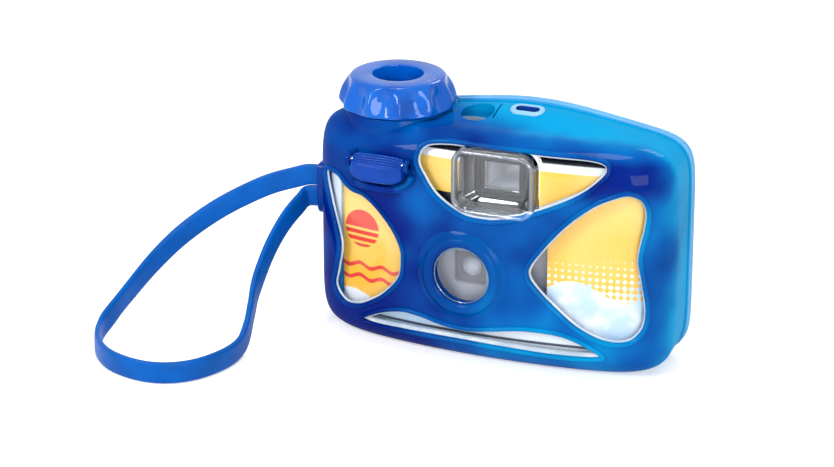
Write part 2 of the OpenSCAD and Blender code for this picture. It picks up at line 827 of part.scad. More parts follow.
// Shutter lever: a ridged, sloping finger pad that swings on its pin and pushes the plunger
module shutter_lever() {
  back = lever_face - 0.5;
  ridges = 5;
  top_z = lever_pivot_z + 2.7;
  tip_top = lever_pivot_z - 0.9;
  low = plunger_z - 3;
  web_y = lever_pivot_y - 0.8;
  color([0.02, 0.25, 0.7])
    difference() {
      union() {
        along_x(lever_x - lever_w / 2, lever_x + lever_w / 2)
          polygon([
            [back, top_z], [lever_tip, tip_top], [lever_tip, low + 1], [lever_tip + 1, low], [web_y, low],
            [web_y, lever_pivot_z - 2.6], [back, lever_pivot_z - 1]
          ]);
        along_x(lever_x - 3, lever_x + 3)
          translate([web_y - 0.2, plunger_z - lever_nib_r])
            square([lever_pivot_y + 0.3 - web_y + 0.2, 2 * lever_nib_r]);
        rod_x(lever_pivot_y + 0.3, plunger_z, lever_x - 3, lever_x + 3, lever_nib_r);
        for (k = [0 : ridges - 1])
          let (t = (k + 0.5) / ridges)
          rod_x(
            back + t * (lever_tip - back), top_z + t * (tip_top - top_z),
            lever_x - lever_w / 2 + 1.5, lever_x + lever_w / 2 - 1.5, 0.4);
      }
      rod_x(lever_pivot_y, lever_pivot_z, lever_x - lever_w, lever_x + lever_w, lever_pin_r + run_gap);
    }
}

module lever_pin() {
  pin_half = lever_w / 2 + move_gap + 1.6;
  color([0.75, 0.76, 0.78])
    rod_x(lever_pivot_y, lever_pivot_z, lever_x - pin_half, lever_x + pin_half, lever_pin_r);
}

module plunger() {
  color([0.9, 0.9, 0.88]) {
    rod_y(lever_x, plunger_z, plunger_head_y, plunger_head_y + plunger_head_t, plunger_head_r);
    rod_y(lever_x, plunger_z, plunger_head_y, arm_y - move_gap, plunger_r);
  }
}

module plunger_seal() {
  color([0.05, 0.05, 0.06])
    along_y(plunger_boss_y - seal_t + seat_gap, plunger_boss_y)
      translate([lever_x, plunger_z])
        difference() {
          circle(seal_r);
          circle(plunger_r + run_gap);
        }
}

module plunger_spring() {
  well = lever_face + plunger_well - plunger_head_y - plunger_head_t - 2 * seat_gap;
  color([0.75, 0.76, 0.78])
    translate([lever_x, lever_face + plunger_well - seat_gap, plunger_z])
      rotate([90, 0, 0])
        coil(plunger_r + 0.55, 0.2, 4, well);
}

// Strap: a flat band on edge, swept along the smooth curve through its route
module strap() {
  n = len(strap_route);
  before = 2 * strap_route[0] - strap_route[1];
  after = 2 * strap_route[n - 1] - strap_route[n - 2];
  ends = concat([before], strap_route, [after]);
  steps = 2;
  line = concat(
    [for (i = [0 : n - 2], k = [0 : steps - 1])
      curve_point(ends[i], ends[i + 1], ends[i + 2], ends[i + 3], k / steps)],
    [strap_route[n - 1]]
  );
  last = len(line) - 1;
  color([0.0, 0.37, 0.8])
    skin([for (i = [0 : last])
      let (
        d = line[min(i + 1, last)] - line[max(i - 1, 0)],
        t = d / norm(d),
        u = [0, 0, 1] - t.z * t,
        w = u / norm(u),
        s = cross(t, w)
      )
      strap_ring(line[i], s, w)]);
}

// Ring of the strap's flat section with its corners taken off
function strap_ring(p, s, w) =
  let (
    h = strap_w / 2,
    q = strap_t / 2,
    c = strap_t / 4,
    corners = [
      [q, h - c], [q - c, h], [c - q, h], [-q, h - c], [-q, c - h], [c - q, -h], [q - c, -h], [q, c - h]
    ]
  )
  [for (v = corners) p + v.x * s + v.y * w];

// Strap lug: a moulded socket on the left wall that both ends of the strap go into
module strap_lug() {
  slack = 0.6;
  low = strap_low - strap_w / 2 - slack;
  high = strap_high + strap_w / 2 + slack;
  wide = strap_t + 6;
  color([0.02, 0.2, 0.55])
    difference() {
      along_x(-half_w - lug_out, -half_w - seat_gap)
        translate([strap_y, (low + high) / 2])
          rounded_rect(wide, high - low + 2 * lug_wall, 2);
      translate([-half_w - lug_out - 1, strap_y - strap_t / 2 - slack, low])
        cube([lug_socket + 1, strap_t + 2 * slack, high - low]);
    }
}

// Chassis of the inner camera: film gate, light tunnel, two film chambers, base and deck
module camera_chassis() {
  gate_w = 36;
  gate_h = 24;
  tunnel_wall = 1.5;
  chamber_t = 0.8;
  take_chamber = cassette_r + 0.5;
  supply_chamber = roll_r + 1.1;
  deck_w = supply_x + supply_chamber - knob_x + take_chamber + 2 * chamber_t;
  low = cam_low + cover_wall;
  plate_front = cam_front + cover_wall + 4;
  film_face = film_y - film_t / 2 - 0.2;
  color([0.12, 0.12, 0.13])
    difference() {
      intersection() {
        camera_box(cam_front, cam_back - cover_wall - seat_gap, cover_wall + seat_gap);
        front_form(front_skin + cover_wall + seat_gap, cover_wall + 2 * move_gap);
        union() {
          translate([knob_x - take_chamber - chamber_t, plate_front, low])
            cube([deck_w, film_face - plate_front, base_t]);
          translate([knob_x - take_chamber - chamber_t, plate_front, deck_z])
            cube([deck_w, film_face - plate_front, deck_t]);
          tube_z(knob_x, take_y, low, deck_z + deck_t, take_chamber + chamber_t, take_chamber);
          tube_z(supply_x, supply_y, low, deck_z + deck_t, supply_chamber + chamber_t, supply_chamber);
          translate([lens_x - gate_w / 2 - tunnel_wall, board_y, lens_z - gate_h / 2 - tunnel_wall])
            cube([gate_w + 2 * tunnel_wall, film_face - board_y, gate_h + 2 * tunnel_wall]);
          translate([lens_x - gate_w / 2 - tunnel_wall, board_y, low])
            cube([gate_w + 2 * tunnel_wall, board_t, deck_z - low]);
          translate([lens_x - gate_w / 2 - tunnel_wall, film_face - 2, low])
            cube([gate_w + 2 * tunnel_wall, 2, deck_z - low]);
          rod_y(blade_pivot.x, blade_pivot.y, blade_y - 0.3, board_y + 0.1, 1);
          rod_y(striker_pivot.x, striker_pivot.y, blade_y - 2.6, board_y + 0.1, 1);
          rod_z(arm_x, arm_pivot_y, deck_z, arm_z + arm_t + 0.8, 1.5);
          translate([finder_x - 4, take_y - 4, deck_z + deck_t - 0.1])
            cube([8, 8, finder_z - finder_tube_h / 2 - seat_gap - deck_z - deck_t + 0.1]);
        }
      }
      translate([knob_x - take_chamber - chamber_t - 1, take_y + 5, low + base_t])
        cube([take_chamber * 2 + chamber_t + 0.6, 2 * cassette_r, deck_z - low - base_t]);
      translate([supply_x - supply_chamber + 0.4, supply_y + 4, low + base_t])
        cube([2 * supply_chamber + 2 * chamber_t, 2 * roll_r, deck_z - low - base_t]);
      rod_z(knob_x, take_y, low + base_t, deck_z, take_chamber);
      rod_z(supply_x, supply_y, low + base_t, deck_z, supply_chamber);
      rod_z(knob_x, take_y, low - 1, deck_z + deck_t + 1, hub_r + run_gap);
      rod_z(supply_x, supply_y, low - 1, deck_z + deck_t + 1, supply_hub_r + run_gap);
      translate([lens_x - gate_w / 2, board_y + board_t, lens_z - gate_h / 2])
        cube([gate_w, film_y, gate_h]);
      rod_y(lens_x, lens_z, board_y - 1, board_y + board_t + 1, lens_r);
      translate([sprocket_x - sprocket_r - 1, film_face - 8, sprocket_z - 0.3])
        cube([2 * sprocket_r + 2, 9, sprocket_t + 0.6]);
      rod_z(sprocket_x, sprocket_y, sprocket_z, deck_z + deck_t + 1, sprocket_shaft_r + run_gap);
      rod_z(dial_x, dial_y, deck_z - 1, deck_z + deck_t + 1, dial_shaft_r + run_gap);
    }
}

// Rounded box of the inner camera between y0 and y1, moved inwards by e
module camera_box(y0, y1, e) {
  along_y(y0, y1)
    translate([0, (cam_low + cam_top) / 2])
      rounded_rect(2 * (cam_half_w - e), cam_top - cam_low - 2 * e, cover_round - e);
}

// Openings in the covers for the knob's shaft, the viewfinder tube and the counter
module cover_openings() {
  rod_z(knob_x, take_y, cam_top - cover_wall - 1, cam_top + 1, shaft_r + 3);
  rod_z(counter_x, counter_y, cam_top - cover_wall - 1, cam_top + 1, counter_r + 0.4);
  along_y(cam_front - 1, cam_back + 1)
    translate([finder_x, finder_z])
      square([finder_tube_w + 2 * seat_gap, finder_tube_h + 2 * seat_gap], center = true);
}

module camera_front_cover() {
  pocket_back = lens_y - 0.2;
  color([0.5, 0.5, 0.51])
    difference() {
      union() {
        difference() {
          intersection() {
            camera_box(cam_front, cam_split, 0);
            front_form(front_skin, 0.2);
          }
          intersection() {
            camera_box(cam_front + cover_wall, cam_split + 1, cover_wall);
            front_form(front_skin + cover_wall, 0.2 + cover_wall);
          }
        }
        along_y(cam_front, pocket_back + cover_wall)
          translate([lens_x, lens_z])
            square(pocket_w + 2 * cover_wall, center = true);
      }
      translate([lens_x, pocket_back, lens_z])
        rotate([90, 0, 0])
          linear_extrude(pocket_back - cam_front + 0.1, scale = 1.5)
            square(pocket_w / 1.5, center = true);
      rod_y(lens_x, lens_z, cam_front, pocket_back + cover_wall + 1, lens_r + 2.6);
      rod_y(lever_x, plunger_z, cam_front - 1, cam_front + cover_wall + 1, plunger_r + move_gap);
      cover_openings();
    }
}

module camera_back_cover() {
  guide_w = 44;
  guide_h = 36;
  color([0.12, 0.12, 0.13])
    difference() {
      union() {
        difference() {
          camera_box(cam_split, cam_back, 0);
          camera_box(cam_split - 1, cam_back - cover_wall, cover_wall);
        }
        along_y(film_y + film_t / 2 + move_gap, cam_back - cover_wall + 0.1)
          translate([lens_x, lens_z])
            square([guide_w - 8, guide_h], center = true);
      }
      cover_openings();
    }
}

module cassette_shell() {
  skin_t = 0.4;
  lip = 12;
  lip_t = 0.8;
  low = film_z - cassette_half + 1;
  high = film_z + cassette_half - 1;
  color([0.9, 0.75, 0.2])
    difference() {
      union() {
        rod_z(knob_x, take_y, low, high, cassette_r);
        translate([knob_x, film_y - lip_t, low + 3])
          cube([lip, 2 * lip_t, high - low - 6]);
      }
      difference() {
        rod_z(knob_x, take_y, low - 1, high + 1, cassette_r - skin_t);
        translate([knob_x, film_y - lip_t, low + 3])
          cube([lip, 2 * lip_t, high - low - 6]);
      }
      translate([knob_x - 1, film_y - film_t, film_z - film_w / 2 - 0.3])
        cube([lip + 2, 2 * film_t, film_w + 0.6]);
    }
}

module cassette_caps() {
  cap_t = 1 - seat_gap;
  color([0.12, 0.12, 0.13])
    for (z = [film_z - cassette_half, film_z + cassette_half - cap_t])
      tube_z(knob_x, take_y, z, z + cap_t, cassette_r + 0.1, hub_r + run_gap);
}

module cassette_spool() {
  core_r = 4.8;
  flange_r = cassette_r - 1.7;
  flange_t = 0.8;
  inner = cassette_half - 1 - move_gap;
  color([0.1, 0.1, 0.11])
    difference() {
      union() {
        rod_z(knob_x, take_y, film_z - inner, film_z + inner, core_r);
        for (z = [film_z - inner, film_z + inner - flange_t])
          rod_z(knob_x, take_y, z, z + flange_t, flange_r);
        rod_z(knob_x, take_y, cam_low + cover_wall + move_gap, film_z - inner, hub_r);
        rod_z(knob_x, take_y, film_z + inner, deck_z + deck_t + 0.6, hub_r);
      }
      rod_z(knob_x, take_y, deck_z - 4, deck_z + deck_t + 1, wheel_key_r + seat_gap);
    }
}

module film_roll() {
  color([0.35, 0.25, 0.3])
    tube_z(supply_x, supply_y, film_z - film_w / 2, film_z + film_w / 2, roll_r, supply_core_r + seat_gap);
}

module supply_spool() {
  low = cam_low + cover_wall;
  color([0.1, 0.1, 0.11]) {
    rod_z(supply_x, supply_y, low + base_t + move_gap, deck_z - move_gap, supply_core_r);
    rod_z(supply_x, supply_y, low + move_gap, deck_z + deck_t, supply_hub_r);
  }
}

module film_strip() {
  color([0.35, 0.25, 0.3])
    translate([knob_x + 2, film_y - film_t / 2, film_z - film_w / 2])
      cube([supply_x - knob_x - 2, film_t, film_w]);
}

module thumbwheel() {
  notches = 36;
  boss_wide = key_w * 0.75 + 2;
  color([0.15, 0.15, 0.16])
    difference() {
      union() {
        rod_z(knob_x, take_y, wheel_z, wheel_z + wheel_t, wheel_r);
        rod_z(knob_x, take_y, wheel_z + wheel_t, wheel_z + wheel_t + 1.6, boss_wide);
        rod_z(knob_x, take_y, deck_z - 3.6, wheel_z, wheel_key_r);
      }
      along_z(wheel_z + 1, wheel_z + wheel_t + 2)
        translate([knob_x, take_y])
          square(key_w + 2 * seat_gap, center = true);
      for (k = [0 : notches - 1])
        translate([knob_x, take_y, 0])
          rotate(360 * k / notches)
            rod_z(wheel_r + 0.2, 0, wheel_z - 1, wheel_z + wheel_t + 1, 0.6);
    }
}

// Sprocket: eight film teeth on a shaft, with the notched metering cam above the deck
module sprocket() {
  teeth = 8;
  cam_r = 4;
  cam_low_z = deck_z + deck_t + 0.8;
  color([0.85, 0.85, 0.83]) {
    rod_z(sprocket_x, sprocket_y, sprocket_z + seat_gap, cam_low_z + 3, sprocket_shaft_r);
    translate([sprocket_x, sprocket_y, 0])
      along_z(sprocket_z + seat_gap, sprocket_z + sprocket_t) {
        circle(sprocket_r - 1.2);
        for (k = [0 : teeth - 1])
          rotate(360 * k / teeth)
            translate([0, -0.6])
              square([sprocket_r, 1.2]);
      }
    along_z(cam_low_z, cam_low_z + 1.5)
      translate([sprocket_x, sprocket_y])
        difference() {
          circle(cam_r);
          translate([cam_r - 0.8, -1])
            square(2);
        }
  }
}

// Counter dial: a white disc with a fine ratchet edge, on a shaft in the deck
module counter_dial() {
  teeth = 40;
  tooth = 0.5;
  color([0.95, 0.95, 0.95]) {
    along_z(dial_z, dial_z + dial_t)
      translate([dial_x, dial_y])
        polygon([for (k = [0 : 2 * teeth - 1])
          let (r = dial_r - tooth * (k % 2), a = 180 * k / teeth)
          [r * cos(a), r * sin(a)]]);
    rod_z(dial_x, dial_y, deck_z + 0.2, dial_z, dial_shaft_r);
  }
}

// Release arm: one end is pushed by the plunger, the other drops into the metering cam
module release_arm() {
  width = 2;
  nib_r = 0.8;
  nib = [arm_x - 4, sprocket_y - 3.4];
  color([0.85, 0.85, 0.83])
    difference() {
      union() {
        along_z(arm_z, arm_z + arm_t) {
          bar([arm_x, arm_pivot_y], [lever_x, arm_y + width / 2], width);
          bar([arm_x, arm_pivot_y], nib, width);
          translate([arm_x, arm_pivot_y])
            circle(3);
        }
        rod_z(nib.x, nib.y, deck_z + deck_t + 0.9, arm_z + arm_t / 2, nib_r);
      }
      rod_z(arm_x, arm_pivot_y, arm_z - 1, arm_z + arm_t + 1, 1.5 + run_gap);
    }
}

// Flat bar with round ends from a to b
module bar(a, b, width) {
  v = b - a;
  end_r = width * 0.49;
  for (p = [a, b])
    translate(p)
      circle(end_r);
  translate(a)
    rotate(atan2(v.y, v.x))
      translate([0, -width / 2])
        square([norm(v), width]);
}

module release_spring() {
  color([0.75, 0.76, 0.78])
    translate([arm_x, arm_pivot_y, deck_z + deck_t + seat_gap])
      coil(2.1, 0.25, 4, arm_z - deck_z - deck_t - move_gap);
}

// Striker: the sprung lever that knocks the shutter blade open
module striker() {
  tip = striker_pivot + [0.2, -5.5];
  tail = striker_pivot + [-6, 2];
  color([0.8, 0.8, 0.78])
    along_y(blade_y, blade_y + blade_t)
      difference() {
        union() {
          bar(striker_pivot, tip, 1.6);
          bar(striker_pivot, tail, 2);
          translate(striker_pivot)
            circle(2.2);
        }
        translate(striker_pivot)
          circle(1 + run_gap);
      }
}

module striker_spring() {
  color([0.75, 0.76, 0.78])
    translate([striker_pivot.x, blade_y - seat_gap * 4, striker_pivot.y])
      rotate([90, 0, 0])
        coil(1.5, 0.2, 4, 2.2);
}

module shutter_blade() {
  tab = blade_pivot + [-2.7, 7];
  color([0.15, 0.15, 0.16])
    along_y(blade_y, blade_y + blade_t)
      difference() {
        union() {
          translate([lens_x, lens_z])
            circle(lens_r - 0.4);
          bar(blade_pivot, [lens_x, lens_z], 3);
          bar(blade_pivot, tab, 1.6);
          translate(blade_pivot)
            circle(2);
        }
        translate(blade_pivot)
          circle(1 + run_gap);
      }
}

// Plate with the fixed stop, on two pads of the lens board
module aperture_plate() {
  stop_r = 1.6;
  half = 9;
  color([0.1, 0.1, 0.11])
    difference() {
      union() {
        along_y(plate_y, plate_y + plate_t)
          translate([lens_x, lens_z])
            rounded_rect(2 * half, 2 * half, 1);
        for (x = [-1, 1])
          rod_y(lens_x + x * (half - 1.3), lens_z - half + 1.3, plate_y, board_y - seat_gap, 1);
      }
      rod_y(lens_x, lens_z, plate_y - 1, plate_y + plate_t + 1, stop_r);
    }
}

// Taking lens: a meniscus moulded with a flat rim
module taking_lens() {
  bulge = 0.9;
  ball = (pow(lens_r - 0.6, 2) + pow(bulge, 2)) / (2 * bulge);
  color([0.75, 0.85, 0.9, 0.5])
    translate([lens_x, plate_y - seat_gap, lens_z])
      rotate([90, 0, 0])
        union() {
          cylinder(lens_t - bulge - 0.4, r = lens_r);
          intersection() {
            cylinder(lens_t, r = lens_r - 0.6);
            translate([0, 0, lens_t - 0.4 - ball])
              sphere(ball);
          }
        }
}

module lens_retainer() {
  color([0.08, 0.08, 0.09])
    along_y(lens_y, plate_y - seat_gap)
      translate([lens_x, lens_z])
        difference() {
          circle(lens_r + 2.2);
          circle(lens_r + seat_gap);
        }
}

module viewfinder_tube() {
  color([0.2, 0.2, 0.21])
    along_y(cam_front + 0.4, cam_back - 0.4)
      translate([finder_x, finder_z])
        difference() {
          square([finder_tube_w, finder_tube_h], center = true);
          square([finder_tube_w - 2 * finder_tube_t, finder_tube_h - 2 * finder_tube_t], center = true);
        }
}

// Moulded viewfinder lens that fills the tube between y0 and y1
module finder_lens(y0, y1) {
  side = finder_tube_t + seat_gap;
  color([0.8, 0.88, 0.95, 0.5])
    along_y(y0, y1)
      translate([finder_x, finder_z])
        square([finder_tube_w - 2 * side, finder_tube_h - 2 * side], center = true);
}

module viewfinder_front_lens() {
  finder_lens(cam_front + 1, cam_front + 2.6);
}

module viewfinder_rear_lens() {
  finder_lens(cam_back - 3, cam_back - 1);
}

front_shell();
back_shell();
case_gasket();
window_left();
window_right();
window_top();
window_bottom();
lens_window();
eyepiece_window();
counter_window();
indicator_window();
label_left();
label_right();
label_bottom();
label_top_left();
label_top_right();
label_back();
advance_knob();
knob_shaft();
knob_seal();
knob_clip();
shutter_lever();
lever_pin();
plunger();
plunger_seal();
plunger_spring();
strap();
strap_lug();
camera_chassis();
camera_front_cover();
camera_back_cover();
cassette_shell();
cassette_caps();
cassette_spool();
film_roll();
supply_spool();
film_strip();
thumbwheel();
sprocket();
counter_dial();
release_arm();
release_spring();
striker();
striker_spring();
shutter_blade();
aperture_plate();
taking_lens();
lens_retainer();
viewfinder_tube();
viewfinder_front_lens();
viewfinder_rear_lens();
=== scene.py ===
import bmesh
import bpy
import numpy as np
from mathutils import Matrix
from mathutils.geometry import delaunay_2d_cdt


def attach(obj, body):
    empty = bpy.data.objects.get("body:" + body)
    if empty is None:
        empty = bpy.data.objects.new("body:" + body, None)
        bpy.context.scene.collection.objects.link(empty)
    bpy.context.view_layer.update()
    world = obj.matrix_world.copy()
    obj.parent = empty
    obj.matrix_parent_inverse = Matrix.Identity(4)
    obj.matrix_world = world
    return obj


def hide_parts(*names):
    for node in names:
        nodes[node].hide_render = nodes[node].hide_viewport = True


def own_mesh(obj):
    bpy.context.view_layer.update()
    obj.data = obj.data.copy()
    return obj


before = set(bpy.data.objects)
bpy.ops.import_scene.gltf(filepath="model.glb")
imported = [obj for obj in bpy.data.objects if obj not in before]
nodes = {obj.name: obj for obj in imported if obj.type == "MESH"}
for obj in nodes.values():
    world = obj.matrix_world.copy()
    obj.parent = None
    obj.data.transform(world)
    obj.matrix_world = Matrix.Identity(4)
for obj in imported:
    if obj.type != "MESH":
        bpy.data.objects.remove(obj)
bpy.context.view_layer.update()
scene = bpy.context.scene
scene.view_settings.view_transform = "Standard"

# The camera: a long lens, above the object and to its right, at the angle of the photograph. Its place was
# fitted to the outline of the case.
AZIMUTH, ELEVATION = np.radians((23.035, 21.054))
DISTANCE = 1.01149
FOCUS, SENSOR = 134.6, 36.0
AIM = np.array((0.0, 0.00325, 0.037))
AIM_ACROSS, AIM_UP = -0.027435, 0.000467
across = np.array((np.cos(AZIMUTH), np.sin(AZIMUTH), 0.0))
towards = np.array((np.sin(AZIMUTH), -np.cos(AZIMUTH), np.tan(ELEVATION))) * np.cos(ELEVATION)
upwards = np.cross(towards, across)
stand = AIM + AIM_ACROSS * across + AIM_UP * upwards + DISTANCE * towards


def placed(*columns):
    """Matrix whose four columns are the three axes of an object and its place."""
    return Matrix(np.vstack([np.stack(columns, 1), (0, 0, 0, 1)]).tolist())


camera = bpy.data.objects.new("camera", bpy.data.cameras.new("camera"))
camera.data.lens, camera.data.sensor_width = FOCUS, SENSOR
camera.matrix_world = placed(across, upwards, towards, stand)
scene.collection.objects.link(camera)
scene.camera = camera

# The studio: a plain white floor that keeps the object's shadow, a pale room and four soft lamps. Floor
# and room are white to every ray that shows them, and dimmer to those that light the object.
FLOOR_HALF, FLOOR_Z, FLOOR_CORNERS = 2.0, -0.0002, ((-1, -1), (1, -1), (1, 1), (-1, 1))
ROOM_LIGHT, FLOOR_GLOW = 0.42, 0.42
LAMPS = (
    ("key", (-0.55, -0.95, 0.75), (0.4, 0.4), 8.6),
    ("fill", (0.75, -0.95, 0.5), (0.6, 0.5), 8.2),
    ("rim", (0.15, 0.75, 0.7), (0.5, 0.25), 3.6),
    ("overhead", (-0.02, -0.04, 0.95), (0.25, 0.25), 2.4),
)


class Tone:
    """One output of a node tree, so that sums of outputs read as sums."""

    def __init__(self, tree, out):
        self.tree, self.out = tree, out

    def node(self, kind, settings, inputs, out=0):
        """Adds a node: its settings first, then its inputs, each a value or a Tone. Gives one output back."""
        made = self.tree.nodes.new("ShaderNode" + kind)
        for key, value in settings.items():
            setattr(made, key, value)
        for key, value in inputs.items():
            if isinstance(value, Tone):
                self.tree.links.new(value.out, made.inputs[key])
            else:
                made.inputs[key].default_value = value
        return Tone(self.tree, made.outputs[out]) if made.outputs else None

    def math(self, operation, *terms):
        return self.node("Math", {"operation": operation}, dict(enumerate(terms)))

    def __add__(self, other):
        return self.math("ADD", self, other)

    def __radd__(self, other):
        return self.math("ADD", other, self)

    def __sub__(self, other):
        return self.math("SUBTRACT", self, other)

    def __rsub__(self, other):
        return self.math("SUBTRACT", other, self)

    def __mul__(self, other):
        return self.math("MULTIPLY", self, other)

    def __rmul__(self, other):
        return self.math("MULTIPLY", other, self)

    def __pow__(self, other):
        return self.math("POWER", self, other)

    def __abs__(self):
        return self.math("ABSOLUTE", self)

    def sine(self):
        return self.math("SINE", self)

    def ramp(self, low, high, start=0.0, end=1.0):
        """Smooth step from start at low to end at high."""
        return self.node(
            "MapRange", {"interpolation_type": "SMOOTHSTEP"},
            {"Value": self, "From Min": low, "From Max": high, "To Min": start, "To Max": end})

    def mix(self, first, second):
        """Colour that goes from first to second as this goes from 0 to 1."""
        return self.node("Mix", {"data_type": "RGBA"}, {0: self, 6: first, 7: second}, 2)

    def part(self, axis):
        """The x, y or z part of a vector, as axis 0, 1 or 2."""
        return self.node("SeparateXYZ", {}, {0: self}, axis)

    def noise(self, scale, detail=2.0):
        return self.node("TexNoise", {}, {"Vector": self, "Scale": scale, "Detail": detail})

    def bump(self, strength, distance):
        return self.node("Bump", {}, {"Height": self, "Strength": strength, "Distance": distance})


def paint(name):
    """A material with an empty tree, and its object coordinates in millimetres."""
    material = bpy.data.materials.new(name)
    material.use_nodes = True
    tree = material.node_tree
    tree.nodes.clear()
    place = Tone(tree, tree.nodes.new("ShaderNodeTexCoord").outputs["Object"])
    return material, place.node("VectorMath", {"operation": "SCALE"}, {0: place, "Scale": 1000.0})


def finish(material, shader):
    """Joins a shader to a material's output, and gives the material back."""
    shader.node("OutputMaterial", {}, {"Surface": shader})
    return material


def ink(red, green, blue):
    """Linear colour of an sRGB colour given in 0 to 255."""
    c = np.array((red, green, blue)) / 255
    return (*np.where(c <= 0.04045, c / 12.92, ((c + 0.055) / 1.055) ** 2.4).tolist(), 1.0)


def seen(tone):
    """1 for rays that show a surface, straight, mirrored or through glass; 0 for those that light others."""
    path = tone.tree.nodes.new("ShaderNodeLightPath")
    straight, mirrored, through = (
        Tone(tone.tree, path.outputs[f"Is {ray} Ray"]) for ray in ("Camera", "Glossy", "Transmission"))
    return straight.math("MAXIMUM", straight.math("MAXIMUM", straight, mirrored), through)


PURE_WHITE = ink(255, 255, 255)
world = bpy.data.worlds.new("room")
world.use_nodes = True
world.node_tree.nodes.clear()
room = Tone(world.node_tree, world.node_tree.nodes.new("ShaderNodeTexCoord").outputs["Generated"])
sky = room.node("Background", {}, {
    "Color": PURE_WHITE, "Strength": seen(room).ramp(0, 1, ROOM_LIGHT, 1.0)})
room.node("OutputWorld", {}, {"Surface": sky})
scene.world = world

floor_mesh = bpy.data.meshes.new("floor")
floor_mesh.from_pydata(
    [(x * FLOOR_HALF, y * FLOOR_HALF, FLOOR_Z) for x, y in FLOOR_CORNERS], [], [(0, 1, 2, 3)])
floor = bpy.data.objects.new("floor", floor_mesh)
scene.collection.objects.link(floor)
material, place = paint("white_paper")
paper = place.node("BsdfDiffuse", {}, {"Color": place.noise(0.4).mix(ink(238, 238, 240), ink(244, 244, 244))})
glow = place.node("Emission", {}, {"Color": PURE_WHITE, "Strength": seen(place) * FLOOR_GLOW})
floor_mesh.materials.append(finish(material, place.node("AddShader", {}, {0: paper, 1: glow})))

for name, spot, size, power in LAMPS:
    lamp = bpy.data.objects.new(name, bpy.data.lights.new(name, "AREA"))
    lamp.data.shape = "RECTANGLE"
    lamp.data.size, lamp.data.size_y = size
    lamp.data.energy = power
    beam = np.array(spot) - AIM
    beam = beam / np.linalg.norm(beam)
    side = np.cross((0.0, 0.0, 1.0), beam)
    side = side / np.linalg.norm(side)
    lamp.matrix_world = placed(side, np.cross(beam, side), beam, spot)
    scene.collection.objects.link(lamp)


# Wrist strap: one flat band of blue rubber, on edge. It leaves the lug, drops to the floor, turns round
# on it and climbs back into the lug under its own start.
ROUTE = np.array([
    (-62.85, 3.2, 48.6), (-68.4, 3.2, 48.3), (-73.4, 3.2, 46.6), (-82, 2.2, 43.4), (-89.7, 0.2, 39.5),
    (-97.3, -3.8, 35.1), (-104, -8.8, 30.2), (-109.7, -14.8, 24.9), (-114.5, -22.8, 18.6),
    (-117.3, -31.8, 13.1), (-118.8, -41.8, 8.7), (-120, -49, 4.6), (-117.1, -57.1, 3.7),
    (-112.3, -63.7, 3.6), (-106, -68.8, 3.6), (-98.2, -71.8, 3.6), (-90.5, -72.5, 3.6),
    (-83.7, -70.4, 3.6), (-78.1, -65.5, 3.6), (-74.3, -58.3, 3.6), (-72.3, -50.1, 3.6),
    (-72.2, -42.4, 4.2), (-72.6, -37.2, 7.5), (-73.6, -32.1, 11.8), (-74.4, -27.1, 17.3),
    (-74.2, -21.7, 23.4), (-73.5, -15.3, 29.5), (-72.2, -7.8, 35), (-70.2, -1.2, 39),
    (-68.6, 2.5, 40.9), (-62.85, 3.2, 41.3),
])
STRAP_W, STRAP_T = 7.0, 2.0


def curve(knots, steps):
    """Catmull-Rom curve: b + t/2 (c - a + t (2a - 5b + 4c - d + t (3(b - c) + d - a))) between b and c."""
    ends = np.vstack([2 * knots[:1] - knots[1:2], knots, 2 * knots[-1:] - knots[-2:-1]])
    a, b, c, d = (ends[k:len(ends) - 3 + k, None] for k in range(4))
    t = (np.arange(steps) / steps)[None, :, None]
    run = b + t / 2 * (c - a + t * (2 * a - 5 * b + 4 * c - d + t * (3 * (b - c) + d - a)))
    return np.vstack([run.reshape(-1, knots.shape[1]), knots[-1:]])


def oval(count, power):
    """Superellipse |u|^p + |v|^p = 1 at evenly spread angles, from rounded square to circle."""
    turn = 2 * np.pi * (np.arange(count) + 0.5) / count
    c, s = np.cos(turn), np.sin(turn)
    return np.stack([c, s], 1) * ((np.abs(c) ** power + np.abs(s) ** power) ** (-1 / power))[:, None]


def piece(name, points, faces, crease=35.0):
    """Closed mesh of points in millimetres: seams welded, faces outwards, edges over crease degrees sharp."""
    mesh = bpy.data.meshes.new(name)
    mesh.from_pydata((np.asarray(points) / 1000).tolist(), [], [list(f) for f in faces])
    shape = bmesh.new()
    shape.from_mesh(mesh)
    bmesh.ops.remove_doubles(shape, verts=shape.verts, dist=1e-7)
    bmesh.ops.recalc_face_normals(shape, faces=shape.faces)
    shape.to_mesh(mesh)
    shape.free()
    mesh.shade_smooth()
    mesh.set_sharp_from_angle(angle=np.radians(crease))
    made = bpy.data.objects.new(name, mesh)
    scene.collection.objects.link(made)
    return made


def loft(rings, ends=True, loop=False):
    """Points and faces over rings[j, i], joined round in i and along in j. The first and the last ring are
    closed with ends, and joined to each other with loop."""
    steps, count = rings.shape[:2]
    j = np.arange(steps - (not loop))[:, None]
    i = np.arange(count)[None]
    low, high, after = j * count, (j + 1) % steps * count, (i + 1) % count
    faces = np.stack([low + i, low + after, high + after, high + i], -1).reshape(-1, 4).tolist()
    if ends and not loop:
        faces += [list(range(count))[::-1], list(range((steps - 1) * count, steps * count))]
    return rings.reshape(-1, 3), faces


def swept(line, section, closed=False, up=(0.0, 0.0, 1.0)):
    """Rings of a section carried along a line: line + u (along x w) + v w, with w as near to up as can be."""
    along = np.roll(line, -1, 0) - np.roll(line, 1, 0) if closed else np.gradient(line, axis=0)
    along = along / np.linalg.norm(along, axis=1, keepdims=True)
    up = np.broadcast_to(up, along.shape)
    w = up - (up * along).sum(1, keepdims=True) * along
    w = w / np.linalg.norm(w, axis=1, keepdims=True)
    s = np.cross(along, w)
    return line[:, None] + section[None, :, :1] * s[:, None] + section[None, :, 1:] * w[:, None]


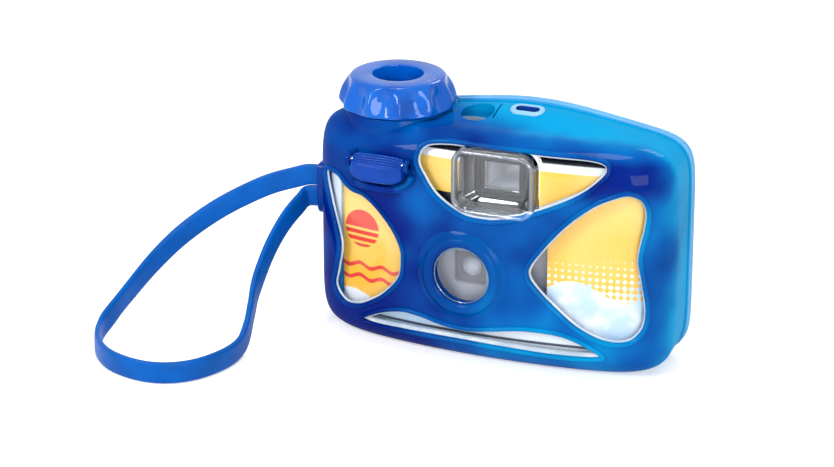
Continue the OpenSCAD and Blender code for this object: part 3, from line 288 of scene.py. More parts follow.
def wear(piece_or_node, material, slot=None):
    """Puts a material on a new piece, when a slot is given, or on each material slot of a CAD node."""
    if slot:
        piece_or_node.data.materials.append(material)
    else:
        for place_for_it in piece_or_node.material_slots:
            place_for_it.material = material


GRAIN = (1.6, 4.0)


def moulded(name, colour, rough, grain=0.015, shade=0.82, coat=0.0, gloss=0.4):
    """Moulded plastic or rubber: a little cloudy in colour, with a fine grain that breaks up its shine."""
    material, place = paint(name)
    cloud = place.noise(0.09, 3.0)
    fine = place.noise(*GRAIN)
    dark = (*(np.array(colour[:3]) * shade).tolist(), 1.0)
    return finish(material, place.node("BsdfPrincipled", {}, {
        "Base Color": cloud.ramp(0.35, 0.65).mix(dark, colour),
        "Roughness": fine.ramp(0.3, 0.7, rough * 0.85, rough * 1.15),
        "Specular IOR Level": gloss, "Coat Weight": coat, "Coat Roughness": 0.08,
        "Normal": fine.bump(0.35, grain / 1000)}))


line = curve(ROUTE, 6)
strap = piece("strap_band", *loft(swept(line, oval(28, 5.0) * (STRAP_T / 2, STRAP_W / 2))))
wear(strap, moulded("strap_rubber", ink(0, 90, 178), 0.42, grain=0.03, gloss=0.12), "strap")
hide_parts("strap")
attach(strap, "case")

# Strap lug: a socket of blue plastic on the left wall of the case. Both ends of the strap are pushed into its
# one slot, and their tight fit holds them.
LUG_WALL, LUG_MOUTH, LUG_FLOOR = -60.4, -64.4, -62.8
LUG_Y, LUG_Z, LUG_HALF, LUG_HOLE = 3.2, 44.95, (3.2, 8.75), (1.6, 7.75)


def rounded(half, corner, count=10):
    """Rounded rectangle: quarter circles of radius corner at the four corners, as points round it."""
    turn = np.linspace(0, np.pi / 2, count)
    quarter = np.stack([np.cos(turn), np.sin(turn)], 1) * corner
    centre = np.array(half) - corner
    signs = ((1, 1), (-1, 1), (-1, -1), (1, -1))
    return np.vstack([(quarter[::flip] + centre) * sign for sign, flip in zip(signs, (1, -1, 1, -1))])


FROM_LEFT, FROM_FRONT, FROM_ABOVE = (1, 2, 0), (0, 2, 1), (0, 1, 2)


def stack(sections, spots, axes):
    """Rings of flat sections set at spots along the third of axes, in the plane of the first two."""
    rings = np.zeros((len(sections), len(sections[0]), 3))
    rings[..., axes[0]] = np.array(sections)[..., 0]
    rings[..., axes[1]] = np.array(sections)[..., 1]
    rings[..., axes[2]] = np.array(spots)[:, None]
    return rings


lug_sections = [rounded(LUG_HALF, 2.0)] * 2 + [rounded(np.array(LUG_HALF) - 0.5, 1.6)]
lug_sections += [rounded(np.array(LUG_HOLE) + 0.3, 0.8), rounded(LUG_HOLE, 0.5), rounded(LUG_HOLE, 0.5)]
lug_spots = [LUG_WALL, LUG_MOUTH + 0.6, LUG_MOUTH, LUG_MOUTH, LUG_MOUTH + 0.4, LUG_FLOOR]
lug = piece("strap_socket", *loft(stack(lug_sections, lug_spots, FROM_LEFT) + (0, LUG_Y, LUG_Z)))
wear(lug, moulded("lug_plastic", ink(0, 62, 160), 0.25, grain=0.004, coat=0.12, gloss=0.1), "shell")
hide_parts("strap_lug")
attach(lug, "case")

# Back shell: a shallow tub of translucent blue plastic with a rounded rear edge. It closes the case from
# behind, clamped on a rubber gasket, and a rim stands out round the parting line on both shells.
HALF_W, HEIGHT, FRONT, BACK, WALL = 61.0, 76.5, -19.25, 20.75, 2.4
POWER, EDGE_R, REAR_R, BOW, SINK, DRAFT = 8.5, 11.5, 4.0, 8.0, 0.6, 0.9
MID, PART = HEIGHT / 2, BACK - 5.0
RIM_OUT, RIM_T, GASKET = 0.6, 1.2, 0.8
HUMP_H, HUMP_X, HUMP_HALF, HUMP_START, HUMP_RUN = 4.8, 8.0, 48.0, FRONT + 14.0, 16.0
KNOB = np.array((-36.5, 3.35))
KNOB_LOW, SCOOP_R = 77.3, 20.0
FINDER, EYEPIECE = np.array((5.5, 62.6)), (8.5, 6.5)
AROUND = 2 * np.pi * (np.arange(480) + 0.5) / 480
# Blue tones of the painted light and shade on the shell, deep to pale, and of the painted highlight on its
# rim.
DEEP_BLUE, MID_BLUE = ink(0, 32, 128), ink(0, 92, 176)
PALE_BLUE, RIM_HIGHLIGHT = ink(0, 158, 216), ink(120, 186, 232)
# Ramps of the painted light across the case and towards its rear, and the box of painted shade over the
# works.
LIGHT_ACROSS, LIGHT_BEHIND = (-62.0, 22.0, 0.0, 0.44), (-13.0, 9.0, 0.0, 0.63)
SHADE_LOW, SHADE_HIGH, SHADE_FRONT, SHADE_RIGHT = (58.0, 67.0), (76.5, 71.0), (2.0, -7.0), (6.0, 26.0)
SHADE_DEPTH = 0.42


def hump(x, y):
    """Rise of the case's top: a raised cosine across it, which grows along another one towards the rear."""
    across = np.clip(1 - np.abs(x - HUMP_X) / HUMP_HALF, 0, 1)
    behind = np.clip((y - HUMP_START) / HUMP_RUN, 0, 1)
    return HUMP_H * (1 - np.cos(np.pi * across)) / 2 * (1 - np.cos(np.pi * behind)) / 2


def case_ring(inset, y, humped=True):
    """Ring of the case: |x/a|^p + |z/b|^p = 1 moved inwards, with the hump on its top where it is humped."""
    c, s = np.cos(AROUND), np.sin(AROUND)
    k = (np.abs(c) ** POWER + np.abs(s) ** POWER) ** (-1 / POWER)
    x, z = (HALF_W - inset) * c * k, MID + (MID + SINK * (s < 0) - inset) * s * k
    y = y(x) if callable(y) else np.full_like(x, y)
    z = z + humped * hump(x, y) * np.clip((z - MID) / MID, 0, None) ** 6
    return np.stack([x, y, np.maximum(z, 0)], 1)


def folded(ring):
    """The same ring pressed flat on to the middle line, which closes a face that is straight up and down."""
    return np.stack([ring[:, 0], ring[:, 1], np.full(len(ring), MID)], 1)


def rear_rings(depth, humped):
    """Rings of the back shell's skin at a depth, from its parting line over its round edge to its middle."""
    r = REAR_R - depth
    rings = [
        case_ring(DRAFT + depth + r * (1 - np.cos(a)), BACK - depth - r * (1 - np.sin(a)), humped)
        for a in np.radians(np.linspace(0, 90, 10))]
    return rings + [folded(rings[-1])]


def rim_rings(start, end):
    """The rim that stands out round the parting line, with its edges broken."""
    turns = ((start, 0.25), (start + 0.2, 0.0), (end - 0.2, 0.0), (end, 0.25))
    return [case_ring(DRAFT - RIM_OUT + low, y) for y, low in turns]


def prism(section, low, high, axes):
    """Straight bar with a section in the plane of the first two axes, from low to high along the third."""
    return loft(stack([section, section], [low, high], axes))


def circle(radius, count=96):
    """Points r (cos a, sin a) at evenly spread angles a."""
    turn = 2 * np.pi * np.arange(count) / count
    return radius * np.stack([np.cos(turn), np.sin(turn)], 1)


def cut(target, *cutters):
    """Takes closed meshes away from a piece, in one exact boolean each, and deletes the cutters."""
    for number, shape in enumerate(cutters):
        tool = piece(f"cutter_{number}", *shape)
        step = target.modifiers.new("cut", "BOOLEAN")
        step.operation, step.solver, step.object = "DIFFERENCE", "EXACT", tool
        bpy.context.view_layer.update()
        done = bpy.data.meshes.new_from_object(target.evaluated_get(bpy.context.evaluated_depsgraph_get()))
        target.modifiers.clear()
        target.data = done
        bpy.data.objects.remove(tool)
    target.data.shade_smooth()
    target.data.set_sharp_from_angle(angle=np.radians(35))


def blue_plastic(name, body, painted_lift=0.0, cloudy=1.3):
    """Translucent plastic, softly cloudy, with painted light and shade: deep blue over the dark works on
    the left of the face, and painted paler towards the right wall and the rear, where light comes through
    the case. Painted shade darkens the face over the works at its top right too, the rim's edge is palest
    as a painted highlight, and a lift paints the whole of it lighter."""
    material, place = paint(name)
    x, y, z = (place.part(axis) for axis in range(3))
    cloud = place.noise(0.036, 2.0)
    grain = place.noise(2.5, 3.0)
    # Painted light: paler towards the right and towards the rear. Painted shade: darker over the works.
    light = x.ramp(*LIGHT_ACROSS) + y.ramp(*LIGHT_BEHIND) + (cloud - 0.5) * cloudy - 0.03 + painted_lift
    shade = z.ramp(*SHADE_LOW) * z.ramp(*SHADE_HIGH) * y.ramp(*SHADE_FRONT) * x.ramp(*SHADE_RIGHT)
    light = light - shade * SHADE_DEPTH
    tint = light.ramp(0.0, 0.5).mix(DEEP_BLUE, MID_BLUE)
    tint = light.ramp(0.4, 1.0).mix(tint, PALE_BLUE)
    # Painted highlight: the palest blue along the rim's edge.
    tint = (abs(y - PART) - RIM_T).ramp(0.5, 0.2).mix(tint, RIM_HIGHLIGHT)
    skin = place.node("BsdfPrincipled", {}, {
        "Base Color": tint, "Roughness": grain.ramp(0.3, 0.7, 0.12, 0.2), "Specular IOR Level": 0.0,
        "Coat Weight": 0.14, "Coat Roughness": 0.05, "Normal": cloud.bump(0.12, 0.0012)})
    through = place.node("BsdfTransparent", {}, {"Color": tint})
    solid = cloud.ramp(0.3, 0.7, body - 0.06, body + 0.06)
    return finish(material, place.node("MixShader", {}, {0: solid, 1: through, 2: skin}))


rear_parting = PART + GASKET / 2
rings = rear_rings(0.0, True)[::-1] + rim_rings(rear_parting, rear_parting + RIM_T)[::-1]
rings += [case_ring(DRAFT + WALL, rear_parting, False)] + rear_rings(WALL, False)
back = piece("back_shell_skin", *loft(np.array(rings), ends=False))
scoop = prism(circle(SCOOP_R) + KNOB, KNOB_LOW - 0.3, HEIGHT + 20, FROM_ABOVE)
cut(back, scoop, prism(rounded(EYEPIECE, 2.0) + FINDER, PART, BACK + 1, FROM_FRONT))
wear(back, blue_plastic("rear_blue", 0.84, cloudy=0.45), "back")
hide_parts("back_shell")
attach(back, "case")

# Gasket: a flat ring of dark rubber, pinched between the two shells at the parting line. It is seen as a dark
# line inside the rim.
wear(nodes["case_gasket"], moulded("gasket_rubber", ink(0, 40, 104), 0.6))

# Front shell: the deep tub of the case, moulded in translucent blue plastic, bowed across and rounded all
# round its face. It has four curved window openings with a bead round each, and holes for the lens and for
# the small windows in the top.
LENS, LENS_HOLE_R = np.array((-4.7, 30.5)), 10.6
COUNTER, COUNTER_R = np.array((-8.8, 3.85)), 5.45
SLOT, SLOT_HALF = np.array((7.0, 7.25)), (5.85, 3.35)
SLIT, SLIT_HALF = np.array((-2.6, 5.2)), (0.3, 4.2)
BOX_HALF, BOX_CORNER = (14.0, 10.75), 5.0
BEAD_R = 0.8
THROUGH_FACE, THROUGH_TOP = (FRONT - 8, FRONT + 14, FROM_FRONT), (MID, HEIGHT + 9, FROM_ABOVE)
LEFT_KNOTS = np.array([
    (18.2, 12.2), (24.2, 15.2), (29.3, 19.1), (34.2, 25.1), (35.3, 31.4), (34.7, 36.5), (31.4, 42.5),
    (25.7, 48.5), (20.6, 51.8), (16.4, 52.6), (13.4, 54.5), (10.6, 57), (5.8, 57.4), (4.4, 54.5), (7.2, 45.3),
    (10.8, 33.2), (9.7, 24.5), (8.5, 17.4), (12.6, 12.4)]) - (HALF_W, 0)
RIGHT_KNOTS = np.array([
    (-19, 13.2), (-11.4, 13.4), (-6.8, 17.6), (-5.6, 24.5), (-6.9, 35), (-7.9, 42.6), (-6.4, 52), (-6, 57.7),
    (-7.8, 62.4), (-12.2, 64.1), (-17.7, 62.3), (-23.7, 59), (-31.8, 52.1), (-39.6, 42.8), (-43.6, 36.6),
    (-43.8, 32.8), (-41.2, 29), (-36, 23.9), (-27.6, 17)]) + (HALF_W, 0)
TOP_KNOTS = np.array([
    (1.9, -26.8), (9.1, -25.9), (20.5, -21.7), (32.5, -15.7), (39.3, -10.4), (42.4, -5.8), (38, -3.1),
    (21.6, -2.8), (2.3, -2.8), (-11.4, -2.9), (-19.3, -4.6), (-21.3, -9.7), (-18.8, -15.1), (-14, -21.1),
    (-5.6, -25.9)]) + (0, HEIGHT)
BOTTOM_KNOTS = np.array([
    (-42.2, 8.2), (-37, 6.7), (-25.7, 6.9), (-7.8, 7.2), (8.7, 6.9), (25, 6.4), (38.2, 6.8), (42.2, 8.2),
    (37.8, 11.4), (30.2, 14.4), (22.6, 15.2), (14.5, 14.9), (5.2, 13.4), (-2, 12.3), (-10.7, 12.6),
    (-19.4, 14.3), (-26.6, 14.6), (-34.7, 12.4)])


def front_at(x):
    """Place of the bowed face: y = front + bow (x/a)^2."""
    return FRONT + BOW * (x / HALF_W) ** 2


def front_rings(depth, end, humped):
    """Rings of the front shell's skin at a depth: its bowed face, its round edge and its drawn-in sides."""
    r = EDGE_R - depth
    edge = [
        case_ring(depth + r * (1 - np.sin(a)), lambda x: front_at(x) + depth + r * (1 - np.cos(a)), False)
        for a in np.radians(np.linspace(0, 90, 14))]
    side = [
        case_ring(depth + DRAFT * s, lambda x: (1 - s) * (front_at(x) + EDGE_R) + s * end, humped)
        for s in np.linspace(0, 1, 16)[1:]]
    return [folded(edge[0])] + edge + side


def front_y(x, z, depth=0.0):
    """Place of the front's skin under (x, z): the inset e of the outline there is found by halving, and then
    y = front + depth + r (1 - cos a), with r = EDGE_R - depth and r (1 - sin a) = e - depth."""
    low, high = np.zeros_like(x), np.full_like(x, EDGE_R)
    for _ in range(40):
        e = (low + high) / 2
        reach = np.abs(x / (HALF_W - e)) ** POWER + np.abs((z - MID) / (MID + SINK * (z < MID) - e)) ** POWER
        low, high = np.where(reach < 1, e, low), np.where(reach < 1, high, e)
    r = EDGE_R - depth
    s = np.clip(1 - (low - depth) / r, 0, 1)
    return front_at(x) + depth + r * (1 - np.sqrt(1 - s ** 2))


def window(knots):
    """Smooth closed outline through knots, as points about a millimetre apart."""
    return curve(np.vstack([knots[-1:], knots, knots[:2]]), 8)[8:-8]


def on_front(outline, depth=0.0):
    """The points (x, front_y(x, z), z) of an outline laid on the front, or at a depth under it."""
    return np.stack([outline[:, 0], front_y(*outline.T, depth), outline[:, 1]], 1)


def bead(outline, depth=0.0, radius=BEAD_R):
    """Round bead along an outline on the front, stood on the slope of the skin: up is (df/dx, -1, df/dz)."""
    x, z = outline.T
    step = 0.05
    lean = (front_y(x + step, z) - front_y(x - step, z)) / (2 * step)
    tilt = (front_y(x, z + step) - front_y(x, z - step)) / (2 * step)
    rise = np.stack([lean, -np.ones_like(x), tilt], 1)
    return loft(swept(on_front(outline, depth), oval(12, 2.2) * radius, True, rise), loop=True)


def trim(name, shape, material, slot="shell"):
    """Adds a small form that is moulded with the case or fixed in it, and rides it on the case."""
    made = piece(name, *shape)
    wear(made, material, slot)
    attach(made, "case")


front_parting = PART - GASKET / 2
rings = front_rings(0.0, front_parting - RIM_T, True) + rim_rings(front_parting - RIM_T, front_parting)
rings += [case_ring(DRAFT + WALL, front_parting, False)]
rings += front_rings(WALL, front_parting - RIM_T, False)[::-1]
shell = piece("front_shell_skin", *loft(np.array(rings), ends=False))
WINDOWS = {
    "left": window(LEFT_KNOTS), "right": window(RIGHT_KNOTS),
    "top": window(TOP_KNOTS), "bottom": window(BOTTOM_KNOTS)}
cutters = [prism(outline, *THROUGH_FACE) for outline in WINDOWS.values()]
cutters += [prism(rounded(BOX_HALF, BOX_CORNER) + FINDER, *THROUGH_FACE)]
cutters += [prism(circle(LENS_HOLE_R) + LENS, *THROUGH_FACE)]
cutters += [prism(circle(COUNTER_R) + COUNTER, *THROUGH_TOP)]
cutters += [prism(rounded(SLOT_HALF, SLOT_HALF[1] - 0.01) + SLOT, *THROUGH_TOP)]
cutters += [prism(rounded(SLIT_HALF, SLIT_HALF[0] - 0.01) + SLIT, *THROUGH_TOP)]
cut(shell, *cutters, scoop)
shell_blue = blue_plastic("front_blue", 0.86)
# The beads are the shell's plastic painted lighter: a painted highlight round the window edges and the lever
# cup.
bead_blue_lit = blue_plastic("bead_blue_lit", 0.8, 0.17)
wear(shell, shell_blue, "shell")
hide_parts("front_shell")
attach(shell, "case")
for name, outline in WINDOWS.items():
    trim(f"window_bead_{name}", bead(outline), bead_blue_lit)

# Lens ring: the raised round collar of the front shell that guards the clear disc, with a soft dished top.
# It is moulded in one with the shell, and runs out into it with a soft foot.
LENS_PROFILE = np.array([
    (15.6, 0.5), (14.6, 0.0), (13.7, -0.5), (13.1, -1.1), (12.7, -1.7), (12.1, -2.0), (11.2, -2.0),
    (10.3, -1.75), (9.75, -1.3), (9.6, -0.6), (9.6, 2.7), (10.6, 2.7), (10.7, 1.2), (14.5, 1.2)]) + (0, FRONT)


def turned(profile, centre, axes, count=128):
    """Rings turned from a profile of (radius, place) points about a centre, along the third of axes."""
    return stack(centre + profile[:, :1, None] * circle(1.0, count), profile[:, 1], axes)


# The collar is the shell's plastic painted lighter: a painted highlight on the lens ring.
collar_blue_lit = blue_plastic("collar_blue_lit", 0.8, 0.13)
trim("lens_collar", loft(turned(LENS_PROFILE, LENS, FROM_FRONT), loop=True), collar_blue_lit)

# Knob boss: the round seat of the wind-on knob on the front shell, running down to its rounded front edge.
# It is moulded in one with the shell, and bored for the knob's shaft.
BOSS_PROFILE = np.array([
    (5.95, 77.0), (16.2, 77.0), (16.7, 76.85), (17.0, 76.4), (17.0, 73.4), (17.3, 72.4), (17.3, 71.8),
    (15.2, 71.8), (15.2, 74.3), (5.95, 74.3)])
trim("knob_seat", loft(turned(BOSS_PROFILE, KNOB, FROM_ABOVE), loop=True), shell_blue)

# Lever seat: two ears of the front shell that hold the shutter lever's pin, the guard under the lever, and
# the rim of the cup round it.
LEVER_X, LEVER_HALF, PIVOT = -33.5, 9.0, np.array((-19.86, 64.9))
EAR_R, EAR_T, EAR_GAP, EAR_ROOT = 2.3, 1.6, 0.3, -15.2
EAR_STARTS = {"left": LEVER_X - LEVER_HALF - EAR_GAP - EAR_T, "right": LEVER_X + LEVER_HALF + EAR_GAP}
GUARD_LOW, GUARD_HIGH, GUARD_HALF, GUARD_TIP, GUARD_BACK, GUARD_EASE = 54.9, 56.9, 11.0, -20.3, -14.8, 0.6
CUP_HALF, CUP_DROP, CUP_Z, CUP_OUT, CUP_ROD = 11.4, 7.0, 62.6, 0.4, (1.2, 1.5)
FORWARD = (0.0, -1.0, 0.0)


def softened(sections, spots, axes, ease=0.35):
    """Rings of a bar whose two ends are eased: each end section is drawn in to its middle by ease."""
    first, last = (
        s - ease * (s - s.mean(0)) / np.abs(s - s.mean(0)).max(0) for s in (sections[0], sections[-1]))
    step = ease * np.sign(spots[-1] - spots[0])
    inner = [spots[0] + step, *spots[1:-1], spots[-1] - step]
    return stack([first, *sections, last], [spots[0], *inner, spots[-1]], axes)


turn = np.linspace(np.pi / 2, 3 * np.pi / 2, 20)
ear = PIVOT + EAR_R * np.stack([np.cos(turn), np.sin(turn)], 1)
ear = np.vstack([ear, [(EAR_ROOT, 62.6), (EAR_ROOT, 67.2)]])
for name, start in EAR_STARTS.items():
    trim(f"lever_ear_{name}", loft(softened([ear, ear], [start, start + EAR_T], FROM_LEFT)), shell_blue)

guard_x = np.linspace(-GUARD_HALF, GUARD_HALF, 40)
guard_y = GUARD_BACK + (GUARD_TIP - GUARD_BACK) * (1 - (guard_x / GUARD_HALF) ** 2) ** 0.6
guard_plans = [np.stack([guard_x, guard_y], 1)] * 2
guard_rings = softened(guard_plans, [GUARD_LOW, GUARD_HIGH], FROM_ABOVE, GUARD_EASE)
trim("lever_guard", loft(guard_rings + (LEVER_X, 0, 0)), shell_blue)
turn = np.pi * np.linspace(1.06, 1.94, 48)
smile = np.stack([LEVER_X + CUP_HALF * np.cos(turn), CUP_Z + CUP_DROP * np.sin(turn)], 1)
trim("lever_cup", loft(swept(on_front(smile, -CUP_OUT), oval(16, 2.2) * CUP_ROD, up=FORWARD)), bead_blue_lit)

# Printed cards: thin card behind each window, bent to the inside of the front. Each has its own pattern of
# bands, waves and dots in amber, orange, white and ice blue, under a thin varnish. The top cards also carry a
# painted shadow in black, and the bottom card a painted reflection in grey.
CARD_DEPTH, CARD_T, PANE_DEPTH, PANE_T, LAP = 3.9, 0.4, 2.45, 1.4, 1.0


def grown(outline, by):
    """Anticlockwise outline moved outwards: p + by (v_y, -v_x) / |v|, with v along the outline."""
    v = np.roll(outline, -1, 0) - np.roll(outline, 1, 0)
    return outline + by * np.stack([v[:, 1], -v[:, 0]], 1) / np.linalg.norm(v, axis=1, keepdims=True)


def holds(outline, points):
    """Which points lie inside an outline, by counting the sides that a line to the right of each crosses."""
    (x0, z0), (x1, z1) = outline.T[:, :, None], np.roll(outline, -1, 0).T[:, :, None]
    x, z = points.T[:, None]
    rise = np.where(z1 == z0, 1.0, z1 - z0)
    return (((z0 > z) != (z1 > z)) & (x < x0 + (z - z0) * (x1 - x0) / rise)).sum(0) % 2 == 1


def sheet(outline, depth, thick, hole=None, mesh=1.6, margin=0.6):
    """Points and faces of a sheet inside an outline, laid at a depth under the front and thick along y."""
    spread = [np.arange(low, high, mesh) for low, high in zip(outline.min(0), outline.max(0))]
    grid = np.stack(np.meshgrid(*spread), -1).reshape(-1, 2)
    loops = [outline] if hole is None else [outline, hole]
    grid = grid[holds(grown(outline, -margin), grid)]
    if hole is not None:
        grid = grid[~holds(grown(hole, margin), grid)]
    starts = np.cumsum([0] + [len(edge) for edge in loops])
    edges = [(s + k, s + (k + 1) % len(edge)) for s, edge in zip(starts, loops) for k in range(len(edge))]
    flat, _, tris, *_ = delaunay_2d_cdt(np.vstack([*loops, grid]).tolist(), edges, [], 1, 1e-5)
    flat, tris = np.array([tuple(p) for p in flat]), np.array(tris)
    if hole is not None:
        tris = tris[~holds(hole, flat[tris].mean(1))]
    count = len(flat)
    sides = np.vstack([tris[:, (a, b)] for a, b in ((0, 1), (1, 2), (2, 0))])
    _, first, times = np.unique(np.sort(sides, 1), axis=0, return_index=True, return_counts=True)
    rim = sides[first[times == 1]]
    face = on_front(flat, depth)
    walls = np.stack([rim[:, 1], rim[:, 0], rim[:, 0] + count, rim[:, 1] + count], 1)
    faces = tris.tolist() + (tris[:, ::-1] + count).tolist() + walls.tolist()
    return np.vstack([face, face + (0, thick, 0)]), faces


def card(name, print_of, rough=0.42):
    """Printed card: a pattern worked out from x and z on it, under a thin gloss varnish."""
    material, place = paint(name)
    return finish(material, place.node("BsdfPrincipled", {}, {
        "Base Color": print_of(place, place.part(0), place.part(2)),
        "Roughness": place.noise(1.2).ramp(0.3, 0.7, rough - 0.08, rough + 0.08),
        "Specular IOR Level": 0.3, "Coat Weight": 0.2, "Coat Roughness": 0.15}))


AMBER, PALE_AMBER, ORANGE = ink(255, 192, 44), ink(255, 212, 112), ink(236, 66, 40)
# The slate is a painted reflection on the bottom card, and the black a painted shadow on the top cards.
WHITE, ICE, REFLECTION_SLATE, SHADOW_BLACK = ink(244, 246, 248), ink(196, 220, 238), ink(66, 78, 96), ink(16, 17, 22)
SUN, SUN_R, SLATS_TOP, SLAT_RATE = (-43.0, 38.0), 6.4, (38.6, 38.0), 2.7
SWELL_TOP, SWELL_FOOT, SWELL_PITCH, LEFT_FOOT = (28.2, 27.8), (18.6, 19.0), 2.1, (15.6, 15.0)
SHORE, DOT_PITCH, DOTS_FROM, DOTS_TO = (24.2, 23.6), 4.4, 40.0, 20.0
BAND_FOOT, BAND_TOP, SHADOW_FROM = (45.65, 45.95), (67.75, 67.45), (69.7, 70.0)
FIELD, FIELD_Z, WAVE_Z = (39.5, 19.5), 30.0, 24.0


def distance(east, north):
    """Distance (east^2 + north^2)^0.5 from the point that both are measured from."""
    return (east * east + north * north) ** 0.5


def dots(place, pitch, low, high, tilt):
    """Rows of round dots that grow from nothing at the height low to touching at high."""
    u, v = place.part(0) * (2 * np.pi / pitch), place.part(2) * (2 * np.pi / pitch)
    wave = (u + v).sine() * (u - v).sine()
    size = (place.part(2) + place.part(0) * tilt).ramp(low, high, 1.05, -0.2)
    return (wave - size).ramp(0.0, 0.12)


def left_print(place, x, z):
    """A sun with slats across its lower half, two sine waves under it, and a white foot."""
    warm = (place.noise(0.06) * 6.0 + z).ramp(26.0, 46.0).mix(AMBER, PALE_AMBER)
    sun = (distance(x - SUN[0], z - SUN[1]) - SUN_R).ramp(0.15, -0.15)
    slats = ((z * SLAT_RATE).sine() - 0.25).ramp(0.0, 0.15) * z.ramp(*SLATS_TOP)
    swell = (z.math("PINGPONG", z + (x * 0.75).sine() * 0.7, SWELL_PITCH) - 0.7).ramp(0.1, -0.1)
    swell = swell * z.ramp(*SWELL_TOP) * z.ramp(*SWELL_FOOT)
    marks = (sun * (1.0 - slats) + swell).mix(warm, ORANGE)
    return (z + (x * 0.3).sine() * 1.2).ramp(*LEFT_FOOT).mix(marks, WHITE)


def right_print(place, x, z):
    """Dots that grow downwards on amber, over a pale shore with a sine for its edge."""
    warm = (place.noise(0.05) + z * 0.014).ramp(0.8, 1.5).mix(AMBER, PALE_AMBER)
    shore = z + (x * 0.16).sine() * 4.2 - x * 0.12
    cool = place.noise(0.12).ramp(0.35, 0.65).mix(ICE, WHITE)
    spotted = dots(place, DOT_PITCH, DOTS_FROM, DOTS_TO, -0.1).mix(warm, cool)
    return shore.ramp(*SHORE).mix(spotted, cool)


def top_print(place, x, z):
    """An amber band with a slanting foot, under a white band, and a painted shadow in black along its top."""
    warm = place.noise(0.06).ramp(0.3, 0.7).mix(AMBER, PALE_AMBER)
    band = (z - x * 0.5).ramp(*BAND_FOOT) * z.ramp(*BAND_TOP)
    # Black along the top: painted shadow under the shell's edge.
    return z.ramp(*SHADOW_FROM).mix(band.mix(WHITE, warm), SHADOW_BLACK)


def bottom_print(place, x, z):
    """A pale, softly cloudy card with one dark line along it, a painted reflection of the clear shell's
    curved lower edge.
    """
    cool = (place.noise(0.1) + (x * 0.05).sine() * 0.2).ramp(0.3, 0.7).mix(ICE, WHITE)
    # The dark line: painted reflection.
    return (abs(z - 9.0 - (x * 0.02).sine() * 0.3) - 0.45).ramp(0.15, -0.05).mix(cool, REFLECTION_SLATE)


def back_print(place, x, z):
    """An amber field over an ice-blue wave, in a white border."""
    warm = place.noise(0.05).ramp(0.3, 0.7).mix(AMBER, PALE_AMBER)
    wave = (z - WAVE_Z + (x * 0.11).sine() * 4.0).ramp(0.2, -0.2)
    border = x.math("MAXIMUM", abs(x) - FIELD[0], abs(z - FIELD_Z) - FIELD[1]).ramp(-0.1, 0.1)
    return border.mix(wave.mix(warm, ICE), WHITE)


CARDS = {
    "left": ("left", left_print, (-50.5, HALF_W), (0, HEIGHT)),
    "right": ("right", right_print, (22.5, HALF_W), (0, HEIGHT)),
    "bottom": ("bottom", bottom_print, (-HALF_W, HALF_W), (0, MID)),
    "top_left": ("top", top_print, (-HALF_W, -8.55), (56.5, HEIGHT)),
    "top_right": ("top", top_print, (19.55, HALF_W), (MID, HEIGHT)),
}
for name, (opening, print_of, wide, tall) in CARDS.items():
    edge = grown(WINDOWS[opening], LAP)
    edge = np.stack([edge[:, 0].clip(*wide), edge[:, 1].clip(*tall)], 1)
    printed = piece(f"card_{name}", *sheet(edge, CARD_DEPTH, CARD_T))
    wear(printed, card(f"print_{name}", print_of), "label_card")
    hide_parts(f"label_{name}")
    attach(printed, "case")
wear(nodes["label_back"], card("print_back", back_print))

# Clear windows: curved panels of clear plastic seated behind the openings of the front shell. Their round
# edges are drawn as pale beads, a painted highlight, and the left one is frosted where the case wraps round
# its edge.
PANE_TINT, PANE_GLOSS, FROST_X = (0.97, 0.985, 1.0, 1.0), 1.4, -50.3
FROST_LOW, FROST_HIGH = ink(40, 130, 204), ink(222, 236, 246)
LIP_IN, LIP_DEPTH, LIP_R = 0.95, 0.9, 0.4
LEDGE_UP, LEDGE_DEPTH, LEDGE_ROD = 1.0, 1.5, (0.95, 0.9)


def clear(name, tint, gloss, frosted=None):
    """Clear plastic of index n = gloss: the share f + (1 - f)(1 - cos a)^5 of the light is mirrored, with
    f = ((n - 1) / (n + 1))^2, and the rest goes through tinted. Left of x = frosted it is milky."""
    material, place = paint(name)
    ripple = place.noise(0.12, 2.0)
    shine = place.node("BsdfGlossy", {}, {
        "Color": PURE_WHITE, "Roughness": 0.04, "Normal": ripple.bump(0.2, 0.0006)})
    straight = ((gloss - 1) / (gloss + 1)) ** 2
    glance = place.node("LayerWeight", {}, {"Blend": 0.5}, "Facing") ** 5.0 * (1 - straight) + straight
    haze = place.node("BsdfTransparent", {}, {"Color": tint})
    if frosted:
        rise = (place.part(2) + ripple * 12.0).ramp(26.0, 54.0)
        milk = place.node("BsdfDiffuse", {}, {"Color": rise.mix(FROST_LOW, FROST_HIGH)})
        fade = place.part(0).ramp(frosted + 0.4, frosted - 0.4, 0.0, 0.85)
        haze = place.node("MixShader", {}, {0: fade, 1: haze, 2: milk})
    return finish(material, place.node("MixShader", {}, {0: glance, 1: haze, 2: shine}))


# Pale beads inside the window edges and along the bottom opening: a painted highlight, for the glint on the
# panels' round edges.
material, place = paint("clear_edge")
highlight_tint = place.noise(0.12).ramp(0.3, 0.7).mix(ink(196, 222, 240), ink(246, 250, 252))
bright = place.node("BsdfPrincipled", {}, {"Base Color": highlight_tint, "Roughness": 0.12})
pale = place.node("BsdfTransparent", {}, {"Color": (0.9, 0.96, 1.0, 1.0)})
lip_highlight = finish(material, place.node("MixShader", {}, {0: 0.6, 1: pale, 2: bright}))
for name, outline in WINDOWS.items():
    trim(f"clear_edge_{name}", bead(grown(outline, -LIP_IN), LIP_DEPTH, LIP_R), lip_highlight, "clear")
